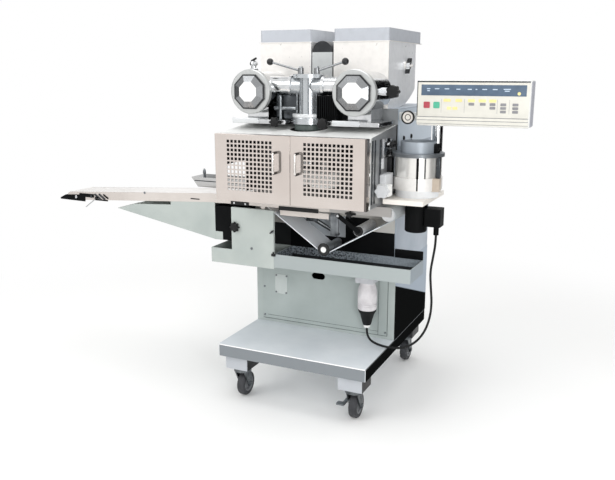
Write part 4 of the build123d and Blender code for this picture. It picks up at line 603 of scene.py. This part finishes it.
studio = {
    "ambient": 0.78,
    "floorColour": "#F8F8F7",
    "fadeFrom": 1.2,
    "fadeTo": 2.6,
    "lamps": {  # place, aim, size, power
        "keyLamp": ((-2.6, -3.6, 3.4), (0, -0.1, 0.7), 2.6, 60),
        "fillLamp": ((2.6, -3.8, 1.8), (0, -0.1, 0.6), 2.4, 26),
        "topLamp": ((0.2, -0.2, 4.2), (0, 0, 0), 3.0, 46),
        "lowLamp": ((1.5, -2.0, 1.0), (0.0, -0.15, 0.68), 0.5, 8),
    },
    "cards": {  # two corners
        "leftCard": ((-2.9, -1.3, 0.2), (-2.86, 2.6, 2.6)),
        "rightCard": ((2.9, -0.9, 0.2), (2.94, 2.6, 2.6)),
        "backCard": ((0.8, 4.0, 0.1), (3.8, 4.04, 3.2)),
    },
    "cardColour": "#0A0A0B",
}


def seenRays(tree):
    # the light path, and one for what the camera or a reflection sees
    rays = addNode(tree, "LightPath").node.outputs
    both = {0: rays["Is Camera Ray"], 1: rays["Is Glossy Ray"]}
    return rays, addNode(tree, "Math", both, operation="MAXIMUM")


def makeStudio():
    scene = bpy.context.scene
    scene.view_settings.view_transform = "Standard"
    world = bpy.data.worlds.new("studio")
    scene.world = world
    world.use_nodes = True
    tree = world.node_tree
    tree.nodes.clear()
    rays, seen = seenRays(tree)
    seen = addNode(tree, "Math", {0: seen, 1: rays["Is Transmission Ray"]}, operation="MAXIMUM")
    strength = addNode(tree, "MapRange", {"Value": seen, "To Min": studio["ambient"]})
    sky = addNode(tree, "Background", {"Color": (1, 1, 1, 1), "Strength": strength})
    addNode(tree, "OutputWorld", {"Surface": sky})

    matt = {"Base Color": hexToLinear(studio["floorColour"]), "Roughness": 0.9, "Specular IOR Level": 0.1}
    tree, shader, place = startMaterial("paleFloor", matt)
    rays, seen = seenRays(tree)
    away = addNode(tree, "VectorMath", {0: place}, out="Value", operation="LENGTH")
    reach = {"Value": away, "From Min": studio["fadeFrom"], "From Max": studio["fadeTo"]}
    fade = addNode(tree, "MapRange", reach, interpolation_type="SMOOTHSTEP")
    share = addNode(tree, "Math", {0: fade, 1: seen}, operation="MULTIPLY")
    white = addNode(tree, "Emission", {"Color": (1, 1, 1, 1), "Strength": 1.0})
    mixed = addNode(tree, "MixShader", {0: share, 1: shader.outputs[0], 2: white})
    output = next(n for n in tree.nodes if n.type == "OUTPUT_MATERIAL")
    tree.links.new(mixed, output.inputs["Surface"])
    bm = bmesh.new()
    bmesh.ops.create_grid(bm, x_segments=1, y_segments=1, size=40)
    meshPiece("floor", bm, [finish["paleFloor"]])

    for name, (place, aim, size, power) in studio["lamps"].items():
        data = bpy.data.lights.new(name, "AREA")
        data.shape = "DISK"
        data.size = size
        data.energy = power
        lamp = link(bpy.data.objects.new(name, data))
        lamp.location = place
        lamp.rotation_euler = (Vector(aim) - Vector(place)).to_track_quat("-Z", "Y").to_euler()

    startMaterial("blackCard", {"Base Color": hexToLinear(studio["cardColour"]), "Specular IOR Level": 0.0})
    for name, (low, high) in studio["cards"].items():
        bm = bmesh.new()
        addBlock(bm, Vector(low) * 1000, Vector(high) * 1000)
        obj = meshPiece(name, bm, [finish["blackCard"]])
        for ray in ("camera", "diffuse", "transmission", "shadow"):
            setattr(obj, "visible_" + ray, False)


makeStudio()
print("studio set")

# Cord of the duster motor, and its ribbed plug with a rubber boot

cordLook = {
    "diameter": 0.009,
    "length": 0.716,
    "route": [
        (0.484, -0.115, 0.709), (0.484, -0.115, 0.673), (0.478, -0.121, 0.622), (0.472, -0.131, 0.567),
        (0.479, -0.140, 0.510), (0.488, -0.150, 0.452), (0.486, -0.161, 0.394), (0.469, -0.171, 0.337),
        (0.436, -0.178, 0.292), (0.392, -0.181, 0.265), (0.342, -0.178, 0.256), (0.294, -0.166, 0.254),
        (0.254, -0.146, 0.255), (0.228, -0.122, 0.259), (0.213, -0.106, 0.275), (0.213, -0.106, 0.299),
    ],
}
plugLook = {"shell": (375, 493, 39), "grooves": (396, 404), "boot": (311, 37, 17), "tail": (299, 13)}


def makePlug():
    low, high, radius = plugLook["shell"]
    bootLow, bootTop, bootEnd = plugLook["boot"]
    tailLow, tailRadius = plugLook["tail"]
    shell = [(low, 0), (low, radius - 5), (low + 4, radius - 1)]
    for groove in plugLook["grooves"]:
        shell += [(groove - 2, radius), (groove - 1, radius - 1.6), (groove + 1, radius - 1.6),
                  (groove + 2, radius)]
    shell += [(high - 60, radius), (high - 38, radius - 1), (high - 24, radius - 4), (high - 14, radius - 8),
              (high - 8, radius - 9), (high, radius - 9), (high, 0)]
    boot = [(bootLow, 0), (bootLow, bootEnd - 1), (bootLow + 2, bootEnd), (low - 20, bootTop - 9),
            (low - 8, bootTop - 2), (low - 0.2, bootTop), (low - 0.2, 0)]
    tail = [(tailLow, 0), (tailLow, tailRadius - 2), (tailLow + 2, tailRadius), (bootLow - 0.2, tailRadius),
            (bootLow - 0.2, 0)]
    axis = ((213, -106, 0), (0, 0, 1))
    makeTrim("plugShell", "white_plastic", ["plugPlastic"], [("turned", 0, *axis, shell, 48)],
             stands=["cord_plug"])
    return makeTrim("plugBoot", "cord_rubber", ["cordRubber", "whitePlastic"], [
        ("turned", 0, *axis, boot, 48), ("turned", 1, *axis, tail, 48)], stands=["cord_plug"])


def makeCord(plug):
    curve = bpy.data.curves.new("motorCord", "CURVE")
    curve.dimensions = "3D"
    curve.bevel_depth = cordLook["diameter"] / 2
    curve.bevel_resolution = 5
    curve.resolution_u = 10
    curve.use_fill_caps = True
    spline = curve.splines.new("NURBS")
    spline.points.add(len(cordLook["route"]) - 1)
    for point, place in zip(spline.points, cordLook["route"]):
        point.co = (*place, 1)
    spline.order_u = 3
    spline.use_endpoint_u = True
    curve.materials.append(finish["cordRubber"])
    cord = link(bpy.data.objects.new("motorCord", curve))
    finishPiece(cord, "machine", ["motor_cord"])


makeCord(makePlug())
print("cord laid")

# Folded, cast and machined pieces that keep their node's shape, with their edges rounded

roundedPieces = {
    "deck": ("deckPan", "deckEnamel", 2.5),
    "cabinet_shell": ("cabinetShell", "cabinetEnamel", 0.6),
    "access_panel": ("accessPanel", "accessPanelEnamel", 1.0),
    "main_housing": ("housingShell", "housingEnamel", 2.0),
    "catch_tray": ("catchTray", "trayEnamel", 0.8),
    "drive_cover": ("driveCover", "greyEnamel", 0.8),
    "outfeed_arm": ("outfeedArm", "greyEnamel", 0.8),
    "arm_mount": ("armMount", "blackEnamel", 3.0),
    "roller_plate": ("rollerPlate", "rollerPlateEnamel", 1.0),
    "nose_block": ("noseBlock", "blackEnamel", 1.0),
    "conveyor_bed": ("conveyorBed", "railSteel", 0.5),
    "guard_frame": ("guardFrame", "guardFinish", 0.6),
    "guard_door_left": ("guardDoorLeft", "doorSteel", 0.4),
    "guard_door_right": ("guardDoorRight", "doorSteel", 0.4),
    "pump_base": ("pumpBase", "turnedSteel", 1.5),
    "side_tray": ("sideTray", "plainSteel", 0.6),
    "duster_shelf": ("dusterShelf", "shelfSteel", 1.2),
    "caster_blocks": ("casterBlocks", "casterEnamel", 2.0),
}


def roundedCopy(nodeName, pieceName, material, widthMm):
    bm = bmesh.new()
    bm.from_mesh(nodes[nodeName].data)
    bmesh.ops.remove_doubles(bm, verts=bm.verts, dist=1e-5)
    mesh = bpy.data.meshes.new(pieceName)
    bm.to_mesh(mesh)
    bm.free()
    for attribute in [a for a in mesh.attributes if a.name == "custom_normal"]:
        mesh.attributes.remove(attribute)
    mesh.materials.clear()
    mesh.materials.append(material)
    for polygon in mesh.polygons:
        polygon.material_index = 0
    smoothByAngle(mesh)
    piece = link(bpy.data.objects.new(pieceName, mesh))
    bevel = piece.modifiers.new("edge", "BEVEL")
    bevel.width = widthMm / 1000
    bevel.segments = 2
    bevel.limit_method = "ANGLE"
    bevel.angle_limit = math.radians(40)
    bevel.harden_normals = True
    applyModifiers(piece)
    return finishPiece(piece, bodyOf[nodeName], [nodeName])


def shadeGrille(piece):
    # the sheared edges of the grille holes are painted dark, as painted shade in the holes
    piece.data.materials.append(finish["grilleEdge"])
    middleX, middleZ, reach = (value / 1000 for value in grilleLook)
    for polygon in piece.data.polygons:
        x, y, z = polygon.center
        if abs(polygon.normal.y) < 0.9 and max(abs(abs(x) - middleX), abs(z - middleZ)) < reach:
            polygon.material_index = 1


grilleLook = (158, 965, 97)  # a grille's middle, from the machine's middle and the floor, and half its width
for nodeName, (pieceName, key, widthMm) in roundedPieces.items():
    piece = roundedCopy(nodeName, pieceName, finish[key], widthMm)
    if key == "doorSteel":
        shadeGrille(piece)
print("folded and cast pieces rounded")

# Nodes that stay as they are, with their finishes

finishes = {
    # the forming head in dark steel, as painted shade seen through the grille
    "blackEnamel": ["main_motor", "duster_motor"], "darkSteel": ["forming_head"],
    "whitePlastic": ["encrusting_disc_left", "encrusting_disc_right"],
    "hopperFinish": ["hopper_left", "hopper_right"], "wingFinish": ["wing_nut_left", "wing_nut_right"],
    "plainSteel": ["hopper_paddle_left", "hopper_paddle_right", "duster_agitator"],
    "coverFinish": ["centre_cover"], "buffedSteel": ["pump_housings"],
    "nutFinish": ["pump_nut_left", "pump_nut_right"], "nozzleFinish": ["nozzle_body"],
    "leftLeverFinish": ["clamp_lever_left"], "rightLeverFinish": ["clamp_lever_right"],
    "blackPlastic": ["clamp_knob"], "knobPlastic": ["adjuster_knob"], "potFinish": ["duster_pot"],
    "turnedSteel": ["panel_post", "end_roller"], "panelFinish": ["control_panel"],
    "greenPlastic": ["start_button"], "redPlastic": ["stop_button"], "pvcBelt": ["conveyor_belt"],
    "rollerSteel": ["drive_roller"], "tensionFinish": ["tension_roller"], "greyPlastic": ["cord_socket"],
    "zincSteel": ["brake_pedal"], "forkSteel": ["caster_fork_front_left", "caster_fork_front_right",
                                                "caster_fork_rear_left", "caster_fork_rear_right"],
}
for key, dressed in finishes.items():
    for nodeName in dressed:
        for slot in nodes[nodeName].material_slots:
            slot.material = finish[key]
print("carried-over pieces dressed")

# Caster wheels: rubber tyre on a dished nylon core

wheelLook = {
    "tyre": [(-16, 33), (-16, 43), (-14, 47.4), (-10, 49.6), (-5, 50), (5, 50), (10, 49.6), (14, 47.4),
             (16, 43), (16, 33)],
    "core": [(-16, 7.2), (-16, 13), (-8.5, 14.5), (-8.5, 24.5), (-14.5, 27), (-15.6, 33), (15.6, 33),
             (14.5, 27), (8.5, 24.5), (8.5, 14.5), (16, 13), (16, 7.2)],
    "centres": {"front_left": (-245, -298, 50), "front_right": (245, -298, 50), "rear_left": (-245, 342, 50),
                "rear_right": (245, 342, 50)},
}
for corner, centre in wheelLook["centres"].items():
    shapes = [("turned", index, centre, (1, 0, 0), wheelLook[part], 64, True)
              for index, part in enumerate(("tyre", "core"))]
    node = "caster_wheel_" + corner
    makeTrim("wheel_" + corner, slotOf[node], ["tyreRubber", "wheelNylon"], shapes, bodyOf[node], [node])
print("wheels turned")

# Small knobs, latches, plates and rods, each on what carries it

front = (0, -1, 0)
right = (1, 0, 0)
up = (0, 0, 1)
trim = {  # slot, finishes, shapes, and the body where it isn't the machine's
    "cabinetPlate": ("grey_paint", ["plateEnamel"], [
        ("block", 0, (-225, -64.2, 374), (-167, -62.8, 460), 0.5)]),
    "beltKnob": ("black_plastic", ["blackPlastic", "turnedSteel"], [
        ("rod", 1, (-311, -229, 693), (-311, -245, 693), 7),
        ("knob", 0, (-311, -241, 693), front, 22, 17, 8)]),
    "coverLatch": ("black_plastic", ["blackPlastic", "zincSteel"], [
        ("disc", 1, (-143, -241.5, 687), front, 6, 3, 1, 1),
        ("bar", 0, (-150, -246, 682), (-137, -246, 693), 5, 3)]),
    "armTab": ("grey_paint", ["greyEnamel"], [
        ("block", 0, (-413, -232, 629.5), (-378, -230, 664), 0.6)]),
    "trayBack": ("dark_paint", ["blackEnamel"], [
        ("block", 0, (315.5, -84, 596), (428, -76, 630), 1.5)]),
    "trayClip": ("black_plastic", ["blackPlastic"], [
        ("block", 0, (-147, -246, 588), (-129, -241.5, 599)),
        ("rod", 0, (-138, -244, 588), (-138, -244, 606), 3)]),
    "railStripLeft": ("black_plastic", ["blackPlastic", "turnedSteel"], [
        ("block", 0, (-336, -233, 781), (-253, -229.5, 796)),
        ("disc", 1, (-320, -232.5, 789), front, 4, 2, 0.5, 1, 20),
        ("disc", 1, (-268, -232.5, 788), front, 4, 2, 0.5, 1, 20)]),
    "railStripRight": ("black_plastic", ["blackPlastic", "railSteel"], [
        ("block", 0, (-118, -233, 776), (52, -229.5, 792)),
        ("block", 1, (-112, -231.5, 756), (96, -229, 778), 0.6)]),
    "railClamp": ("black_plastic", ["blackPlastic", "turnedSteel"], [
        ("rod", 1, (184, -229, 788), (184, -240, 784), 4),
        ("knob", 0, (184, -236, 784), front, 15, 13, 5, 0.2),
        ("block", 0, (163, -234, 781), (206, -229.5, 789), 1.5)]),
    "swingArm": ("dark_paint", ["blackEnamel", "turnedSteel"], [
        ("bar", 0, (134, -231.5, 774), (216.4, -231.5, 720.4), 17, 5),
        ("disc", 1, (134, -234, 774), front, 6, 3.5, 1, 1, 24, 6)]),
    "strainLinks": ("dark_paint", ["darkSteel", "rollerSteel"], [
        ("rod", 0, (-16, -150, 734), (100, -150, 679), 3.2),
        ("rod", 0, (2, -150, 740), (104, -150, 686), 3.2),
        ("rod", 1, (-7, -146, 738), (101, -146, 684), 2.4)]),
    "linkPlates": ("stainless", ["zincSteel", "darkSteel"], [
        ("block", 0, (72, -160, 676), (106, -154, 788), 1.5),
        ("block", 1, (-34, -158, 726), (16, -153, 788), 1.5),
        ("rod", 1, (100, -166, 682), (100, -140, 682), 5), ("rod", 1, (-7, -166, 738), (-7, -140, 738), 5)]),
    "noseRod": ("stainless", ["turnedSteel", "blackPlastic"], [
        ("rod", 0, (-1030, -232, 757), (-1094, -232, 712), 2.2),
        ("knob", 1, (-1030, -230, 757), front, 8, 9, 6)]),
    "noseRollers": ("dark_paint", ["darkSteel", "blackEnamel", "turnedSteel"], [
        ("disc", 2, (-1147, -233.5, 755), front, 7, 2, 0.5, 1, 28),
        ("block", 1, (-1128, -233.5, 757), (-1046, -229.5, 773), 1.5),
        ("bar", 0, (-1038, -231.5, 772), (-1008, -231.5, 752), 8, 3),
        ("bar", 0, (-1014, -231.5, 774), (-986, -231.5, 755), 8, 3),
        ("bar", 1, (-990, -231.5, 774), (-968, -231.5, 760), 6, 3),
        ("block", 1, (-1040, -232, 746), (-968, -229.5, 752), 1),
        ("disc", 0, (-1060, -233, 762), front, 6, 2.5, 1, 1.5, 28)]),
    "railPin": ("black_plastic", ["blackPlastic", "zincSteel"], [
        ("disc", 1, (-766, -229.5, 799), front, 5, 3, 1, 1),
        ("block", 0, (-531, -231.2, 789), (-487, -229.5, 793.5), 0.6)]),
    "trayLatch": ("dark_paint", ["darkSteel", "zincSteel"], [
        ("turned", 1, (-601, -12, 846), up,
         [(0, 0), (0, 7), (14, 5), (20, 7), (34, 6), (40, 3), (42, 0)], 24),
        ("block", 0, (-622, -61.4, 837), (-317, -60, 841), 0.5)]),
    "baseKnobLeft": ("black_plastic", ["blackPlastic", "turnedSteel"], [
        ("rod", 1, (-110, -261, 1121), (-110, -275, 1121), 6),
        ("knob", 0, (-110, -268, 1121), front, 21, 18, 6)]),
    "baseKnobRight": ("black_plastic", ["blackPlastic", "turnedSteel"], [
        ("rod", 1, (88, -261, 1120), (88, -275, 1120), 6),
        ("knob", 0, (88, -267, 1120), front, 22, 20, 8, 0.06)]),
    "basePlates": ("stainless", ["rollerSteel"], [
        ("block", 0, (-299, -268, 1113), (-186, -261, 1134), 1.2),
        ("block", 0, (121, -268, 1112), (226, -261, 1132), 1.2)]),
    "bleedFitting": ("polished", ["buffedSteel", "blackPlastic"], [
        ("disc", 0, (-222, -226, 1294), up, 18, 25, 3, 3, 36, 6),
        ("turned", 0, (-222, -226, 1318), up,
         [(0, 0), (0, 10), (9, 10), (11, 14), (18, 16), (25, 13), (29, 6), (29, 0)], 32),
        ("rod", 1, (-233, -226, 1345), (-211, -226, 1356), 4)]),
    "nozzleFlange": ("polished", ["rollerSteel"], [
        ("turned", 0, (0, -205, 1139), up,
         [(0, 36), (0, 60), (2, 62), (11, 62), (13, 60), (13, 36)], 64, True)]),
    "columnRods": ("polished", ["zincSteel"], [
        ("rod", 0, (x, y, 1139), (x, y, 1284), 2.6)
        for x, y in ((-39, -227), (-15, -247), (17, -246), (40, -226))]),
    "handWheel": ("black_plastic", ["blackPlastic", "shelfSteel", "paleEnamel"], [
        ("block", 2, (314, -76, 1128), (384, -66, 1158), 2),
        ("rod", 2, (366, -70, 1143), (366, -126, 1143), 7),
        ("turned", 0, (366, -124, 1143), front,
         [(4, 20), (4, 24), (6, 25), (11, 25), (13, 24), (13, 20)], 48, True),
        ("turned", 1, (366, -124, 1143), front, [(0, 0), (0, 19), (2, 21), (8, 21), (9, 20), (9, 0)], 40),
        ("turned", 0, (366, -132.8, 1143), front, [(0, 9), (0, 11.5), (0.8, 11.5), (0.8, 9)], 40, True)]),
    "housingGrommets": ("black_plastic", ["blackPlastic"], [
        ("turned", 0, (314.5, y, z), right, [(0, 0), (0, 9), (3, 9), (5, 7), (5, 4), (3, 3), (3, 0)], 28)
        for y, z in ((-15, 1056), (82, 1056), (85, 1036))]),
    "guardKnobs": ("black_plastic", ["blackPlastic", "turnedSteel", "darkSteel"], [
        ("block", 1, (304.5, -222, 1000), (308, -128, 1068), 1),
        ("rod", 1, (307, -173, 1046), (322, -173, 1046), 5),
        ("knob", 0, (314, -173, 1046), right, 13, 14, 6), ("rod", 1, (307, -139, 1046), (322, -139, 1046), 5),
        ("knob", 0, (314, -139, 1046), right, 13, 14, 6), ("knob", 0, (308, -165, 1018), right, 10, 9, 6),
        ("block", 0, (304.5, -176, 938), (322, -140, 996), 2),
        ("block", 2, (304.5, -262, 862), (309, -250, 1070), 1),
        ("block", 2, (304.5, -342, 846), (307, -331, 1072), 0.6),
        ("block", 2, (304.5, -316, 846), (306.5, -303, 1072), 0.6)]),
    "guardTab": ("white_plastic", ["knobPlastic"], [
        ("block", 0, (304.5, -252, 962), (310, -222, 1000), 1.5),
        ("block", 0, (304.5, -262, 898), (330, -176, 944), 3)]),
    "ductRod": ("dark_paint", ["blackEnamel", "darkSteel", "zincSteel"], [
        ("block", 0, (64, -232, 1127), (128, -186, 1150), 2),
        ("block", 1, (-136, -214, 1128), (-46, -116, 1222), 9),
        ("rod", 2, (-138, -216, 1170), (-46, -216, 1170), 9),
        ("rod", 2, (-112, -220, 1128), (-112, -220, 1218), 7)]),
    "panelSeams": ("grey_paint", ["seamShade"], [
        ("block", 0, (245, -63.5, 256), (246.6, -62.9, 530), 0.2),
        ("block", 0, (283.6, -63.5, 256), (285.4, -62.5, 530), 0.2),
        ("block", 0, (-284, -63.5, 255), (285, -62.5, 256.8), 0.2),
        ("block", 0, (-262, -63.5, 271), (246, -62.9, 272.4), 0.2)]),
    "potStrips": ("dark_paint", ["darkSteel", "blackEnamel"], [
        ("rod", 1, (428.8, -200.2, 884), (428.8, -200.2, 1002), 4.5),
        ("rod", 0, (453.7, -188.6, 928), (453.7, -188.6, 1002), 2.5),
        ("rod", 0, (328, -160, 884), (328, -160, 1002), 5)]),
    "potBlocks": ("dark_paint", ["beigePlastic", "darkSteel", "blackEnamel"], [
        ("block", 0, (470, -172, 880), (502, -140, 928), 3),
        ("block", 1, (486, -160, 918), (500, -142, 1004), 2),
        ("block", 2, (452, -134, 1015.5), (484, -100, 1050), 3)]),
    "rollerCap": ("black_plastic", ["blackPlastic"], [
        ("disc", 0, (216.4, -226.5, 720.4), front, 19, 1.9, 0.6, 1, 40)], "drive"),
    "tensionCap": ("white_plastic", ["whitePlastic", "blackPlastic"], [
        ("turned", 1, (76, -230.6, 636), front, [(0, 0), (0, 24), (1, 25), (3, 25), (4, 23.5), (4, 0)], 48),
        ("disc", 0, (76, -234, 636), front, 11.5, 4, 1.5, 2, 36)], "tension"),
}
for name, look in trim.items():
    makeTrim(name, *look)
print("trim made:", len(trim))

# Control panel: face sheet, display strip with its readouts, and rows of keys

panelLook = {
    "blocks": [  # finish, corners and edge: face, strip, top and left shadow lines, lip and its beads
        (0, (419, -192.7, 1152), (801, -191.5, 1271), 0.4),
        (2, (431, -193.4, 1225), (791, -192.4, 1262), 0.4),
        (1, (416, -193.2, 1270), (802, -191.5, 1275), 0.4),
        (1, (416, -193.0, 1154), (419, -191.5, 1271), 0.4),
        (0, (417, -194.5, 1123), (801, -191.0, 1150), 1.0),
        (3, (417, -193.4, 1150), (801, -191.5, 1152), 0.3),
        (3, (417, -194.9, 1139), (801, -191.5, 1141), 0.3),
        (3, (417, -194.9, 1127), (801, -191.5, 1128.5), 0.3)],
    "rows": {  # finish, depth, height, thickness, then caps: across, up and width
        "yellowKeys": ("yellowPlastic", -192.5, 10, 1.4, [
            (524, 1209, 25), (565, 1209, 23), (609, 1209, 24), (646, 1209, 25), (681, 1209, 24),
            (532, 1182, 15), (553, 1182, 17)]),
        "greyKeys": ("keyPlastic", -192.5, 9, 1.4, [
            (609, 1197, 19), (648, 1197, 19), (681, 1197, 19), (681, 1185, 19), (717, 1197, 19),
            (717, 1185, 19), (717, 1173, 19), (757, 1197, 19), (757, 1185, 19), (757, 1173, 19)]),
        "readouts": ("litSegment", -193.2, 3.2, 0.4, [
            (457, 1248, 12), (457, 1241, 9), (487, 1248, 16), (522, 1248, 16), (562, 1247, 14),
            (601, 1247, 14), (624, 1247, 6), (652, 1247, 16), (687, 1247, 16), (727, 1248, 24),
            (727, 1242, 16)]),
        "dividers": ("keyPlastic", -192.5, 48, 0.4, [
            (504, 1190, 0.8), (585, 1190, 0.8), (697, 1190, 0.8), (737, 1190, 0.8)]),
    },
}


def unitKey():
    # a key cap one millimetre wide, high and deep, seated on its back
    bm = bmesh.new()
    addBlock(bm, (-0.5, -0.5, 0), (0.5, 0.5, 1), 0.12)
    return meshPiece("keyCap", bm, [])


def makePanel():
    makeTrim("panelFace", "white_plastic", ["panelPlastic", "darkSteel", "stripAcrylic", "keyPlastic"],
             [("block", *row) for row in panelLook["blocks"]], "panel")
    for name, (key, y, high, deep, caps) in panelLook["rows"].items():
        spots = [((x, y, z), front, (wide, high, deep)) for x, z, wide in caps]
        placeCopies(name, unitKey, spots, finish[key], "panel")
    makeTrim("panelLamp", "white_plastic", ["yellowPlastic"], [
        ("disc", 0, (767, -193.2, 1234), front, 5.5, 1.8, 0.8, 1, 32)], "panel")


makePanel()
print("panel made")

# Screws with a socket in their heads

screwLook = [  # place and radius
    (-170, -64, 455, 4), (-220, -64, 380, 4), (-219, -64, 455, 4), (-172, -64, 380, 4), (-277, -63, 398, 4),
    (-237, -242, 610, 5), (277, -63, 270, 4), (-277, -63, 270, 4), (277, -63, 516, 4), (-277, -63, 516, 4)]


def unitScrew():
    # a socket screw head one millimetre in radius
    bm = bmesh.new()
    addTurned(bm, (0, 0, 0), up, [(0, 0), (0, 1), (0.55, 1), (0.75, 0.8), (0.75, 0.5)], 24)
    addTurned(bm, (0, 0, 0), up, [(0.75, 0.5), (0.3, 0.5), (0.3, 0)], 24)
    bmesh.ops.remove_doubles(bm, verts=bm.verts, dist=1e-7)
    return meshPiece("screwHead", bm, [])


spots = [((x, y, z), front, (radius, radius, radius)) for x, y, z, radius in screwLook]
placeCopies("screws_machine", unitScrew, spots, finish["zincSteel"], "machine")
print("screws set")

# Black ribbed cover beside the nozzle

ribLook = {"count": 9, "first": (52, -236, 1177), "pitch": 8.6, "rib": (4, 80, 9)}


def makeRibs():
    x, y, z = ribLook["first"]
    spots = [((x + i * ribLook["pitch"], y, z), front, ribLook["rib"]) for i in range(ribLook["count"])]
    placeCopies("ductRibs", unitKey, spots, finish["blackEnamel"], "machine")
    makeTrim("ductCover", "dark_paint", ["blackEnamel"], [
        ("block", 0, (46, -237, 1134), (126, -190, 1219), 2)])


makeRibs()
print("ribs set")
